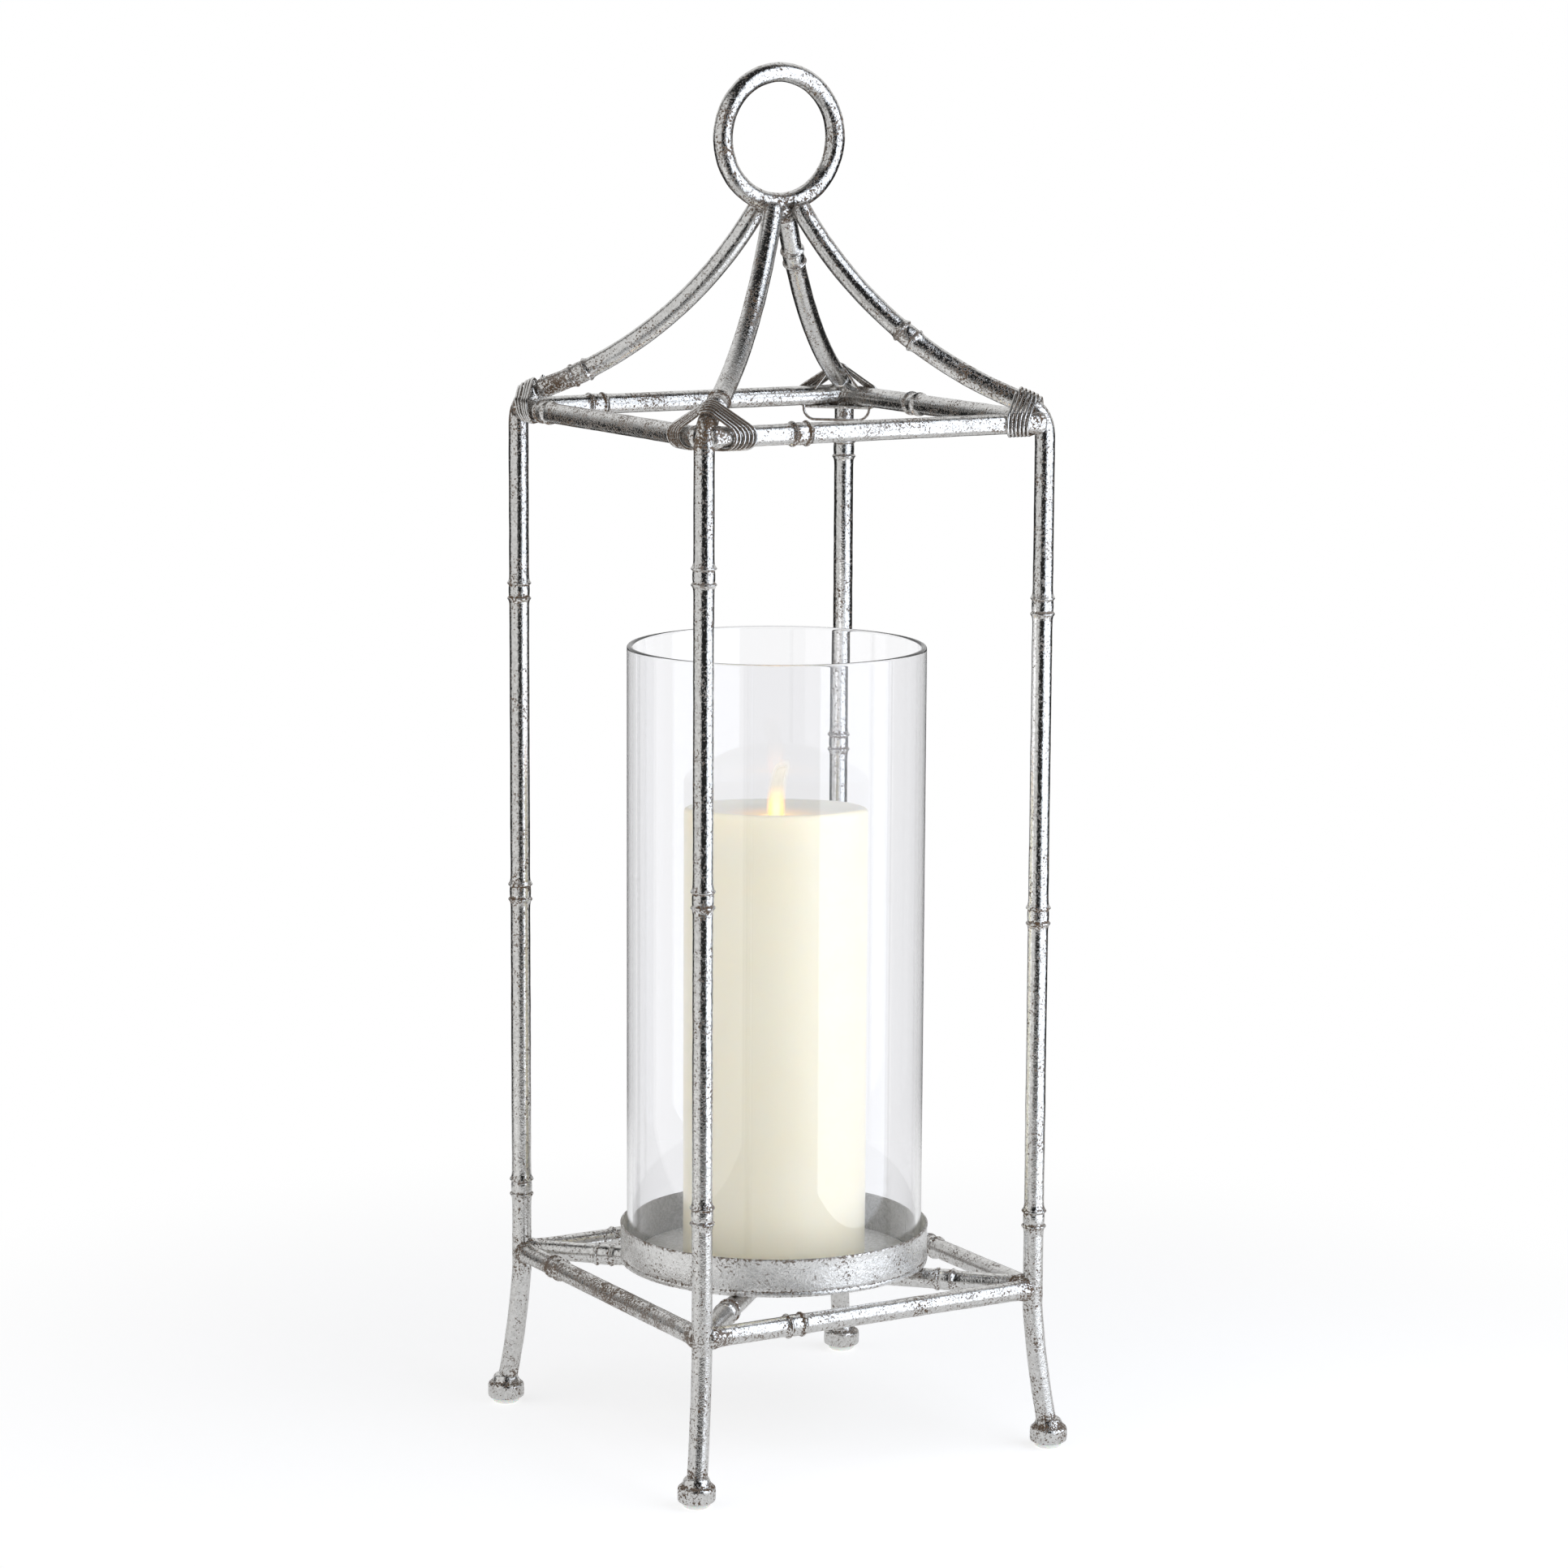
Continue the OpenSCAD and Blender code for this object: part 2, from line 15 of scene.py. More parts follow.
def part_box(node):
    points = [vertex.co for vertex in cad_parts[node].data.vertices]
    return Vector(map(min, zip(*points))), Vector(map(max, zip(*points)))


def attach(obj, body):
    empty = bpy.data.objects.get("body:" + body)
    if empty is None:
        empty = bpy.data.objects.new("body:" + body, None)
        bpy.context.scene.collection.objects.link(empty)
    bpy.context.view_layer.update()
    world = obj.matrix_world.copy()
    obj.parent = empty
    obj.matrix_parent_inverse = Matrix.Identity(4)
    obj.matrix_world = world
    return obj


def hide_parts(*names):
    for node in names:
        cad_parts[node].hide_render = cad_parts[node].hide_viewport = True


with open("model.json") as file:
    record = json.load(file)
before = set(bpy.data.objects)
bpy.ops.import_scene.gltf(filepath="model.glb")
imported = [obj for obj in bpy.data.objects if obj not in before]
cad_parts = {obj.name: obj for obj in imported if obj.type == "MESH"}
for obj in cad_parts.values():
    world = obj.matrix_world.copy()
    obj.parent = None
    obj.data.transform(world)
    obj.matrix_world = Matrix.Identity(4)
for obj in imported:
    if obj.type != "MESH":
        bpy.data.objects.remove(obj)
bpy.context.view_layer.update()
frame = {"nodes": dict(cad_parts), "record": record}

bl_info = {
    "name": "Hurricane candle lantern",
    "version": (1, 0, 0),
    "blender": (4, 5, 0),
    "location": "View3D > Sidebar > Lantern",
    "description": "Builds a bamboo-look lantern with its glass, tray and battery candle",
    "category": "Add Mesh",
}

MM = 0.001
CORNERS = ("front", "right", "back", "left")
CORNER_TURN = dict(zip(CORNERS, (225, 315, 45, 135)))
SIDES = ("front_right", "back_right", "back_left", "front_left")

# Places that stand in the frame
GLASS_LOW, GLASS_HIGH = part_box("glass_cylinder")
WAX_LOW, WAX_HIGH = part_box("wax_shell")
RIM_LOW, RIM_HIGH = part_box("tray_rim")
FLOOR_LOW, FLOOR_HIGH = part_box("tray_floor")
RING_LOW, RING_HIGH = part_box("hanging_ring")
FLAME_LOW, FLAME_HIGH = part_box("flame_blade")


def length(name, description, millimetres):
    return bpy.props.FloatProperty(
        name=name, description=description, default=millimetres * MM, min=0.0, max=10.0, precision=5,
        unit="LENGTH")


def strength(name, description, default):
    return bpy.props.FloatProperty(name=name, description=description, default=default, min=0.0)


def angle(name, description, degrees):
    return bpy.props.FloatProperty(
        name=name, description=description, default=radians(degrees), subtype="ANGLE")


def share(name, description, default):
    return bpy.props.FloatProperty(
        name=name, description=description, default=default, min=0.0, max=1.0, subtype="FACTOR")


def colour(name, description, default):
    return bpy.props.FloatVectorProperty(
        name=name, description=description, default=default, min=0.0, max=1.0, size=3, subtype="COLOR")


class LanternCage(bpy.types.PropertyGroup):
    """Sizes of the iron cage"""
    post_out: length("Post out", "From the lantern's axis to a post's axis", 129.047)
    half_width: length("Half width", "Half the distance between two posts", 91.25)
    rod: length("Rod radius", "Radius of every rod", 5.0)
    lip: length("Lip", "How far the lips of a bamboo joint stand proud", 0.85)
    bottom_rail: length("Bottom rails", "Height of the bottom rails' axis", 78.1)
    top_rail: length("Top rails", "Height of the top rails' axis", 495.4)
    brace: length("Brace", "Height of the cross brace's axis", 79.3)
    leg_top: length("Leg top", "Height of the weld between post and leg", 70.0)
    bend_start: length("Bend start", "Height where a post starts to bend", 490.8)
    bend_radius: length("Bend radius", "Radius of a post's bend", 14.0)
    eave_slope: angle("Eave slope", "Slope of a roof rib at its foot", 19.0)
    crown_slope: angle("Crown slope", "Slope of a roof rib at its top", 59.5)
    rib_radius: length("Rib radius", "Radius of a roof rib's hollow curve", 205.0)
    leg_lean: angle("Leg lean", "Lean of a leg at its top", 4.0)
    leg_radius: length("Leg radius", "Radius of a leg's outward curve", 450.0)
    foot_radius: length("Foot radius", "Radius of the forged foot collar", 9.3)
    foot_top: length("Foot top", "Height of the foot collar's straight part", 10.6)


class LanternLashing(bpy.types.PropertyGroup):
    """Sizes of the tie wire"""
    turns: bpy.props.IntProperty(
        name="Turns", description="Turns of wire at a corner", default=6, min=3, max=8)
    wire: length("Wire radius", "Radius of the tie wire", 0.69)
    reach: length("Reach", "How far the wire stands out round the rods", 5.8)


class LanternFinish(bpy.types.PropertyGroup):
    """Colours and strengths of the finishes"""
    silver: colour("Silver", "Silver leaf", (0.80, 0.795, 0.78))
    shade: colour("Worn silver", "Silver leaf that has dulled", (0.50, 0.49, 0.47))
    # The patina colour also paints shade in the wire gaps and on the front-left rails: painted shade
    patina: colour("Patina", "Brown wax left in the hollows", (0.10, 0.060, 0.032))
    wax: colour("Wax", "Ivory wax", (0.94, 0.83, 0.61))
    glow: colour("Glow", "Light of the flame", (1.0, 0.50, 0.16))
    glow_strength: strength("Glow strength", "Strength of the flame's light", 1.1)
    fleck: share("Flecks", "How much of the leaf has rubbed through", 0.42)


class LanternStage(bpy.types.PropertyGroup):
    """Camera, floor and lamps"""
    azimuth: angle("Azimuth", "Camera's turn about the lantern", -30.17)
    elevation: angle("Elevation", "Camera's height angle", 9.74)
    roll: angle("Roll", "Camera's roll", 0.288)
    distance: length("Distance", "Camera's distance", 2300)
    target: length("Target", "Height that the camera looks at", 300)
    lens: strength("Lens", "Focal length in mm", 109.9)
    key: strength("Key", "Power of the right soft box", 4.0)
    fill: strength("Fill", "Power of the left soft box", 2.6)
    wash: strength("Wash", "Power of the soft light on wax and floor", 3.6)
    sky: share("Sky", "Brightness of the room round the lantern", 0.16)
    dark: share("Dark", "Brightness of the room as the metal shows it", 0.02)


def settings(kind="cage"):
    return getattr(bpy.context.scene, "lantern_" + kind)


# ---------------- making shapes

def deselect_all():
    if bpy.context.object and bpy.context.object.mode != "OBJECT":
        bpy.ops.object.mode_set(mode="OBJECT")
    bpy.ops.object.select_all(action="DESELECT")


def pick(*objects):
    deselect_all()
    for obj in objects:
        obj.select_set(True)
    bpy.context.view_layer.objects.active = objects[0]


def named(name):
    """The object just added, with this name and with its place written into its mesh."""
    obj = bpy.context.object
    obj.name = obj.data.name = name
    bpy.ops.object.transform_apply()
    return obj


def circle(name, radius, height, sides, fill):
    """A circle across the Z axis, left in edit mode."""
    deselect_all()
    bpy.ops.mesh.primitive_circle_add(
        vertices=sides, radius=radius, fill_type=fill, location=(0, 0, height))
    obj = named(name)
    bpy.ops.object.mode_set(mode="EDIT")
    return obj


def extruded(stations):
    """Draws the selected circle out through (height, radius) stations."""
    for (z0, r0), (z1, r1) in zip(stations, stations[1:]):
        bpy.ops.mesh.extrude_region_move(TRANSFORM_OT_translate={"value": (0, 0, z1 - z0)})
        bpy.ops.transform.resize(value=(r1 / r0, r1 / r0, 1), center_override=(0, 0, 0))


def drawn(name, stations, sides=12):
    """Solid of round section along +Z, through (height, radius) stations."""
    height, radius = stations[0]
    obj = circle(name, radius, height, sides, "NGON")
    extruded(stations)
    outward()
    return obj


def turned(name, outline, sides):
    """Ring about the Z axis, turned to a closed outline of (radius, height) points in mm."""
    stations = [(height * MM, radius * MM) for radius, height in outline + outline[:1]]
    height, radius = stations[0]
    obj = circle(name, radius, height, sides, "NOTHING")
    extruded(stations)
    bpy.ops.mesh.select_all(action="SELECT")
    bpy.ops.mesh.remove_doubles(threshold=0.002 * MM)
    outward()
    return obj


def inset(radius, height, points):
    """Points of an outline, given as distances in from a radius and up from a height."""
    return [(radius - inwards, height + up) for inwards, up in points]


def outward():
    bpy.ops.mesh.select_all(action="SELECT")
    bpy.ops.mesh.normals_make_consistent(inside=False)
    bpy.ops.object.mode_set(mode="OBJECT")


def applied(obj, kind, name, **values):
    """Adds a modifier with these values and applies it."""
    pick(obj)
    modifier = obj.modifiers.new(name, kind)
    for key, value in values.items():
        setattr(modifier, key, value)
    bpy.ops.object.modifier_apply(modifier=modifier.name)


def subdivided(obj, levels=2):
    applied(obj, "SUBSURF", "Rounding", levels=levels, render_levels=levels)


def bent(obj, end, degrees):
    """Bends obj towards +X between height 0 and end; past them it stays straight."""
    heights = [v.co.z for v in obj.data.vertices]
    low, high = min(heights), max(heights)
    span = high - low
    applied(obj, "SIMPLE_DEFORM", "Bend", deform_method="BEND", deform_axis="Y",
            angle=radians(degrees), limits=(max(0.0, -low / span), (end - low) / span))


def uneven(obj, name, size, strength, depth=2, **values):
    """Displaces obj by clouds of this size and strength in millimetres."""
    texture = bpy.data.textures.get(name) or bpy.data.textures.new(name, "CLOUDS")
    texture.noise_scale, texture.noise_depth = size * MM, depth
    applied(obj, "DISPLACE", name, texture=texture, texture_coords="LOCAL", strength=strength * MM,
            **{"mid_level": 0.5, **values})


def dented(obj, dents, grain):
    """Hammered unevenness, as strengths in millimetres of broad dents and fine grain."""
    uneven(obj, "Dents", 11, dents, 1)
    uneven(obj, "Grain", 1.9, grain, 1)


def placed(obj, matrix):
    """Moves obj and writes its place into its mesh."""
    pick(obj)
    obj.matrix_world = matrix
    bpy.ops.object.transform_apply()


def joined(obj, *others):
    pick(obj, *others)
    bpy.ops.object.join()


def mark(obj, name, value, part="co"):
    """Writes a FLOAT point attribute from a function of a point, or of its normal."""
    attribute = obj.data.attributes.get(name) or obj.data.attributes.new(name, "FLOAT", "POINT")
    attribute.data.foreach_set("value", [value(getattr(v, part)) for v in obj.data.vertices])


def smooth(obj, degrees=None):
    pick(obj)
    if degrees:
        bpy.ops.object.shade_smooth_by_angle(angle=radians(degrees))
    else:
        bpy.ops.object.shade_smooth()


def handed_in(obj, body, slot, *nodes):
    """Gives a finished piece the material of its slot and its body, and hides the frame nodes it stands for.
    """
    obj.data.materials.clear()
    obj.data.materials.append(material(slot))
    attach(obj, body)
    if nodes:
        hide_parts(*nodes)
    deselect_all()


def corner(name):
    """Turns +X out through a corner of the cage."""
    return Matrix.Rotation(radians(CORNER_TURN[name]), 4, "Z")


def shifted(x, y, z):
    return Matrix.Translation((x, y, z))


# ---------------- bamboo rods

# One bamboo joint: height from its middle in mm, and share of the lip's height
JOINT = ((-8.0, 0.0), (-6.2, 0.06), (-5.1, 0.26), (-4.4, 0.70), (-3.9, 1.08), (-3.4, 1.08),
         (-3.0, 0.55), (-2.65, 0.20), (-1.9, 0.34), (0.0, 0.42), (1.9, 0.34), (2.65, 0.20),
         (3.0, 0.55), (3.4, 1.08), (3.9, 1.08), (4.4, 0.70), (5.1, 0.26), (6.2, 0.06), (8.0, 0.0))
# Weld fillet at a rod's end: distance from the end and extra radius, in mm
FILLET = ((0.0, 1.1), (5.0, 0.95), (6.2, 0.60), (7.6, 0.25), (9.6, 0.05))
STEP = 5.0 * MM
JOINT_REACH = 8.0 * MM


def rod_stations(start, end, joints, welded, seed):
    """(height, radius) stations of a bamboo rod from start to end."""
    cage = settings()
    chance = random.Random(seed)
    stations = {}
    count = max(2, round((end - start) / STEP))
    for k in range(count + 1):
        z = start + (end - start) * k / count
        if all(abs(z - at) > JOINT_REACH for at in joints):
            stations[z] = cage.rod * (1 + 0.012 * chance.uniform(-1, 1))
    for at in joints:
        swell = 1.25 * (1 + 0.12 * chance.uniform(-1, 1))
        for height, rise in JOINT:
            if start < at + height * MM < end:
                stations[at + height * MM] = cage.rod + cage.lip * rise * swell
    for origin, way in ((start, 1), (end, -1)) if welded else ():
        for distance, extra in FILLET:
            at = origin + way * distance * MM
            for z in [z for z in stations if abs(z - at) < 0.7 * MM]:
                del stations[z]
            stations[at] = cage.rod + extra * MM
    return sorted(stations.items())


def hollow_shade(joints, stains):
    """Function of height: how much patina, and on the front-left rails painted shade, is marked there, from
    0 to 1.
    """
    def shade(z):
        value = 0.0
        for at in joints:
            off = abs(z - at) / MM
            value = max(value, 0.95 * exp(-((off - 2.9) / 0.42) ** 2),
                        0.38 * exp(-((off - 4.4) / 1.6) ** 2))
        for at, strength, width in stains:
            value = max(value, strength * exp(-((z - at) / width) ** 2))
        return value
    return shade


def bamboo(name, start, end, joints, stains, seed, welded=False):
    """Straight bamboo rod along +Z, with its patina, and any painted shade among its stains, written as an
    attribute.
    """
    obj = drawn(name, rod_stations(start, end, joints, welded, seed))
    shade = hollow_shade(joints, stains)
    mark(obj, "patina", lambda point: shade(point.z))
    return obj


def set_up(rod, matrix):
    """Rounds a rod, sets it in its place and hammers it."""
    subdivided(rod)
    placed(rod, matrix)
    dented(rod, 0.12, 0.05)
    smooth(rod)


def weld_bead(size, place, lump=0.35):
    """A lump of weld metal of (x, y, z) half sizes at a place, in millimetres."""
    deselect_all()
    bpy.ops.mesh.primitive_ico_sphere_add(subdivisions=4, radius=1)
    bead = bpy.context.object
    placed(bead, shifted(*(v * MM for v in place)) @ Matrix.Diagonal((*(v * MM for v in size), 1)))
    uneven(bead, "Weld", 3, lump * 2)
    mark(bead, "patina", lambda point: 0.45)
    return bead


class LANTERN_OT_posts(bpy.types.Operator):
    """Build the four posts with their bamboo joints and bent tops"""
    bl_idname = "lantern.posts"
    bl_label = "Posts"

    def execute(self, context):
        cage = settings()
        first = dict(zip(CORNERS, (137, 113, 172, 111)))
        apart = 148
        turn = 90 - degrees(cage.eave_slope)
        arc = cage.bend_radius * radians(turn)
        foot = cage.leg_top - cage.bend_start - 3 * MM
        for k, name in enumerate(CORNERS):
            joints = [(first[name] + apart * n) * MM - cage.bend_start for n in range(3)]
            crust = {"front": 0.80, "left": 0.6}.get(name, 0.3)
            stains = ((arc * 0.35, crust, 9 * MM), (cage.bottom_rail - cage.bend_start, 0.4, 7 * MM))
            post = bamboo("post_" + name + "_rod", foot, arc + MM, joints, stains, 10 + k)
            bent(post, arc, -turn)
            set_up(post, corner(name) @ shifted(cage.post_out, 0, cage.bend_start))
            handed_in(post, "frame", "antique_silver", "post_" + name)
        return {"FINISHED"}


class LANTERN_OT_roof_ribs(bpy.types.Operator):
    """Build the four curved ribs of the roof"""
    bl_idname = "lantern.roof_ribs"
    bl_label = "Roof ribs"

    def execute(self, context):
        cage = settings()
        slope = dict(zip(CORNERS, (22.6, 37, 51, 25.6)))
        turn = degrees(cage.crown_slope - cage.eave_slope)
        arc = cage.rib_radius * radians(turn)
        bend_turn = pi / 2 - cage.eave_slope
        eave_out = cage.post_out - cage.bend_radius * (1 - cos(bend_turn))
        eave_up = cage.bend_start + cage.bend_radius * sin(bend_turn)
        for k, name in enumerate(CORNERS):
            at = cage.rib_radius * (radians(slope[name]) - cage.eave_slope)
            stains = {"left": ((12 * MM, 0.75, 13 * MM),),
                      "front": ((4 * MM, 0.5, 8 * MM), (70 * MM, 0.25, 40 * MM)),
                      "right": ((35 * MM, 0.3, 30 * MM),)}.get(name, ())
            stains = (*stains, (arc, 0.5, 5 * MM))
            rib = bamboo("roof_rib_" + name + "_rod", 0, arc + 1.5 * MM, [at], stains, 20 + k)
            bent(rib, arc, turn)
            lean = Matrix.Rotation(-bend_turn, 4, "Y")
            set_up(rib, corner(name) @ shifted(eave_out, 0, eave_up) @ lean)
            handed_in(rib, "frame", "antique_silver", "roof_rib_" + name)
        return {"FINISHED"}


class LANTERN_OT_rails(bpy.types.Operator):
    """Build the four top rails and the four bottom rails"""
    bl_idname = "lantern.rails"
    bl_label = "Rails"

    def execute(self, context):
        cage = settings()
        width = 2 * cage.half_width
        rows = (("top", cage.top_rail, (0.27, 0.63, 0.77, 0.16)),
                ("bottom", cage.bottom_rail, (0.27, 0.5, 0.7, 0.21)))
        along_x = Matrix.Rotation(pi / 2, 4, "Y")
        for row, height, joints in rows:
            for k, side in enumerate(SIDES):
                at = joints[k] * width
                ends = 0.75 if row == "bottom" else 0.5
                # On the front-left rails this mid-rail stain is painted shade, standing in for the dark
                # streak those rails show; on the other rails it is light wear
                wear_and_shade = {"top": 0.35, "bottom": 0.65}[row] if side == "front_left" else 0.15
                stains = ((5 * MM, ends, 6 * MM), (width - 5 * MM, ends, 6 * MM),
                          (width / 2, wear_and_shade, width / 2))
                node = row + "_rail_" + side
                rail = bamboo(node + "_rod", 0.6 * MM, width - 0.6 * MM, [at], stains,
                              40 + k + 5 * len(row), welded=True)
                turn = Matrix.Rotation(radians(90 * k), 4, "Z")
                start = shifted(-cage.half_width, -cage.half_width, height)
                set_up(rail, turn @ start @ along_x)
                handed_in(rail, "frame", "antique_silver", node)
        return {"FINISHED"}


class LANTERN_OT_braces(bpy.types.Operator):
    """Build the cross brace that carries the tray"""
    bl_idname = "lantern.braces"
    bl_label = "Cross brace"

    def execute(self, context):
        cage = settings()
        reach = cage.post_out
        joint = 86 * MM
        along_x = Matrix.Rotation(pi / 2, 4, "Y")
        rows = (("long", "right", -reach, (-joint, joint)), ("front", "front", 0.5 * MM, (joint,)),
                ("back", "back", 0.5 * MM, (joint,)))
        for k, (name, out, start, joints) in enumerate(rows):
            stains = [(z, 0.6, 7 * MM) for z in (start + 6 * MM, reach - 6 * MM)]
            rod = bamboo("cross_brace_" + name + "_rod", start, reach, joints, stains, 60 + k, True)
            set_up(rod, corner(out) @ shifted(0, 0, cage.brace) @ along_x)
            handed_in(rod, "frame", "antique_silver", "cross_brace_" + name)
        return {"FINISHED"}


class LANTERN_OT_legs(bpy.types.Operator):
    """Build the four flared legs with their forged foot collars"""
    bl_idname = "lantern.legs"
    bl_label = "Legs and feet"

    def execute(self, context):
        cage = settings()
        end_up = cage.foot_top - 2 * MM
        end_lean = asin(sin(cage.leg_lean) + (cage.leg_top - end_up) / cage.leg_radius)
        arc = cage.leg_radius * (end_lean - cage.leg_lean)
        foot_out = (cage.post_out + cage.leg_radius * cos(cage.leg_lean)
                    - cage.leg_radius * cos(end_lean))
        r, top = cage.foot_radius / MM, cage.foot_top / MM
        collar = [*((z, r - narrow) for z, narrow in ((3.0, 2.2), (3.05, 0.8), (3.5, 0.15), (4.8, 0))),
                  *((top + up, r - narrow) for up, narrow in (
                      (-2.4, 0), (-1.0, 0.05), (-0.3, 0.55), (0.5, 1.9), (2.4, 2.95), (4.6, 3.3)))]
        for k, name in enumerate(CORNERS):
            stains = ((0, 0.25, 2.5 * MM), (arc - 5 * MM, 0.5, 5 * MM))
            leg = bamboo("leg_" + name + "_rod", -5 * MM, arc, (), stains, 80 + k)
            bent(leg, arc, -degrees(end_lean - cage.leg_lean))
            lean = Matrix.Rotation(pi - cage.leg_lean, 4, "Y")
            set_up(leg, corner(name) @ shifted(cage.post_out, 0, cage.leg_top) @ lean)
            foot = drawn("Foot", [(z * MM, radius * MM) for z, radius in collar], 14)
            mark(foot, "patina", lambda point: 0.7 if abs(point.z / MM - top) < 0.5
                 or point.z < 3.3 * MM else 0.1)
            subdivided(foot)
            place = corner(name) @ shifted(foot_out, 0, 0) @ Matrix.Rotation(k * 1.3, 4, "Z")
            placed(foot, place)
            dented(foot, 0.55, 0.12)
            smooth(foot)
            joined(leg, foot)
            handed_in(leg, "frame", "antique_silver", "leg_" + name)
        return {"FINISHED"}


class LANTERN_OT_bumpers(bpy.types.Operator):
    """Build the four clear bumpers under the feet"""
    bl_idname = "lantern.bumpers"
    bl_label = "Bumpers"

    def execute(self, context):
        dome = ((0.0, 0.62), (0.03, 0.70), (0.12, 0.82), (0.30, 0.92), (0.55, 0.985),
                (0.85, 1.0), (0.98, 0.99), (1.0, 0.95))
        for name in CORNERS:
            low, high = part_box("foot_bumper_" + name)
            radius = (high.x - low.x) / 2
            bumper = drawn("bumper_" + name, [(h * high.z, w * radius) for h, w in dome], 32)
            applied(bumper, "BEVEL", "Soft edge", width=0.1 * MM, segments=1)
            placed(bumper, shifted((low.x + high.x) / 2, (low.y + high.y) / 2, 0))
            smooth(bumper, 40)
            handed_in(bumper, "frame", "bumper_rubber", "foot_bumper_" + name)
        return {"FINISHED"}


class LANTERN_OT_ring(bpy.types.Operator):
    """Build the hanging ring and the weld that joins it to the ribs"""
    bl_idname = "lantern.ring"
    bl_label = "Hanging ring"

    def execute(self, context):
        outer = (RING_HIGH.x - RING_LOW.x) / 2
        rod = (RING_HIGH.y - RING_LOW.y) / 2
        middle = (RING_HIGH.z + RING_LOW.z) / 2
        deselect_all()
        bpy.ops.mesh.primitive_torus_add(
            major_radius=outer - rod, minor_radius=rod, major_segments=96, minor_segments=20,
            location=(0, 0, middle), rotation=(pi / 2, 0, 0))
        ring = named("hanging_ring_rod")
        subdivided(ring, 1)

        def stain(point):
            low = exp(-((point.z - RING_LOW.z) / (9 * MM)) ** 2)
            side = 0.3 * exp(-(((point.z - middle) / (16 * MM)) ** 2))
            return max(0.6 * low, side)
        mark(ring, "patina", stain)
        dented(ring, 0.4, 0.07)
        foot = RING_LOW.z / MM
        beads = [weld_bead(size, (x, y, foot + z)) for size, (x, y, z) in (
            ((7.5, 5.6, 3.4), (0.5, 0, 0.5)), ((3.0, 4.6, 3.2), (6.0, -0.6, 4.6)),
            ((8.5, 3.4, 2.6), (0, -1.0, -2.4)), ((3.6, 8.0, 2.6), (0, 0, -2.8)))]
        joined(ring, *beads)
        smooth(ring)
        handed_in(ring, "frame", "antique_silver", "hanging_ring")
        return {"FINISHED"}


# ---------------- lashings

WIRE_STEPS = 56


def rod_top(inwards):
    """Height of the top of the bent rod at a distance inwards from a post's axis."""
    cage = settings()
    turn = pi / 2 - cage.eave_slope
    across, outer = cage.bend_radius - inwards, cage.bend_radius + cage.rod
    if across > outer * cos(turn):
        return cage.bend_start + sqrt(outer ** 2 - across ** 2)
    eave_out = cage.post_out - cage.bend_radius * (1 - cos(turn))
    eave_up = cage.bend_start + cage.bend_radius * sin(turn)
    centre_out = eave_out + cage.rib_radius * sin(cage.eave_slope)
    centre_up = eave_up + cage.rib_radius * cos(cage.eave_slope)
    r = cage.rib_radius - cage.rod
    return centre_up - sqrt(r ** 2 - (centre_out - cage.post_out + inwards) ** 2)


def turn_outline(high_in, low_in, reach, slack=0.0):
    """Points (across, height) of one turn: a rounded triangle over the rod, under both rails."""
    cage = settings()
    loose = reach
    wire = settings("lashing").wire
    top = rod_top(high_in) + wire - loose
    side = low_in + cage.rod * sqrt(2) + wire - loose
    low = cage.top_rail - cage.rod - wire + loose - slack
    tilt = atan2(side, top - low)
    arcs = (((0.0, top), pi - tilt, tilt, 9), ((side, low), tilt, -pi / 2, 10),
            ((-side, low), 1.5 * pi, pi - tilt, 10))
    points = []
    for (x, z), start, end, count in arcs:
        for n in range(count + 1):
            t = start + (end - start) * n / count
            points.append((x + loose * cos(t), z + loose * sin(t)))
    return points


def evenly(points, count):
    """The closed line through points, as count points an even distance apart."""
    closed = points + points[:1]
    steps = [dist(a, b) for a, b in zip(closed, closed[1:])]
    total, out, k, run = sum(steps), [], 0, 0.0
    for n in range(count):
        goal = total * n / count
        while run + steps[k] < goal:
            run += steps[k]
            k += 1
        part = (goal - run) / steps[k]
        out.append(tuple(a + (b - a) * part for a, b in zip(closed[k], closed[k + 1])))
    return out


def wire_path(name, turns):
    """Points of one continuous lashing, with +X out through its corner."""
    cage = settings()
    lashing = settings("lashing")
    chance = random.Random(300 + CORNERS.index(name))
    leaning = {"left": 4.4, "back": 2.6}.get(name, 2.9)
    first_low, pitch_low = 5.9, 1.48
    path = []
    for k in range(turns):
        off = chance.uniform(-0.12, 0.12)
        gap = 0.35 * (k >= turns // 2) if name == "left" else 0.0
        low_in = (first_low + pitch_low * k + gap + off) * MM
        high_in = low_in - leaning * MM + (0.42 * k * MM if name != "left" else 0.1 * k * MM)
        reach = lashing.reach + chance.uniform(-0.15, 0.15) * MM
        outline = evenly(turn_outline(high_in, low_in, reach), WIRE_STEPS)
        lowest = min(z for _, z in outline)
        highest = max(z for _, z in outline)
        for n, (x, z) in enumerate(outline):
            up = (z - lowest) / (highest - lowest)
            inwards = low_in + (high_in - low_in) * up + pitch_low * MM * (n / WIRE_STEPS - 0.5)
            path.append(Vector((cage.post_out - inwards, x, z)))
    return path


def wound(name, path, radius, cyclic=False):
    """Round wire along a path, as a closed mesh."""
    deselect_all()
    curve = bpy.data.curves.new(name, "CURVE")
    curve.dimensions = "3D"
    curve.bevel_depth = radius
    curve.bevel_resolution = 2
    curve.use_fill_caps = True
    spline = curve.splines.new("POLY")
    spline.points.add(len(path) - 1)
    for place, point in zip(spline.points, path):
        place.co = (*point, 1)
    spline.use_cyclic_u = cyclic
    obj = bpy.data.objects.new(name, curve)
    bpy.context.scene.collection.objects.link(obj)
    pick(obj)
    bpy.ops.object.convert(target="MESH")
    obj = bpy.context.object
    bpy.ops.object.mode_set(mode="EDIT")
    bpy.ops.mesh.select_all(action="SELECT")
    bpy.ops.mesh.remove_doubles(threshold=0.01 * MM)
    outward()
    return obj


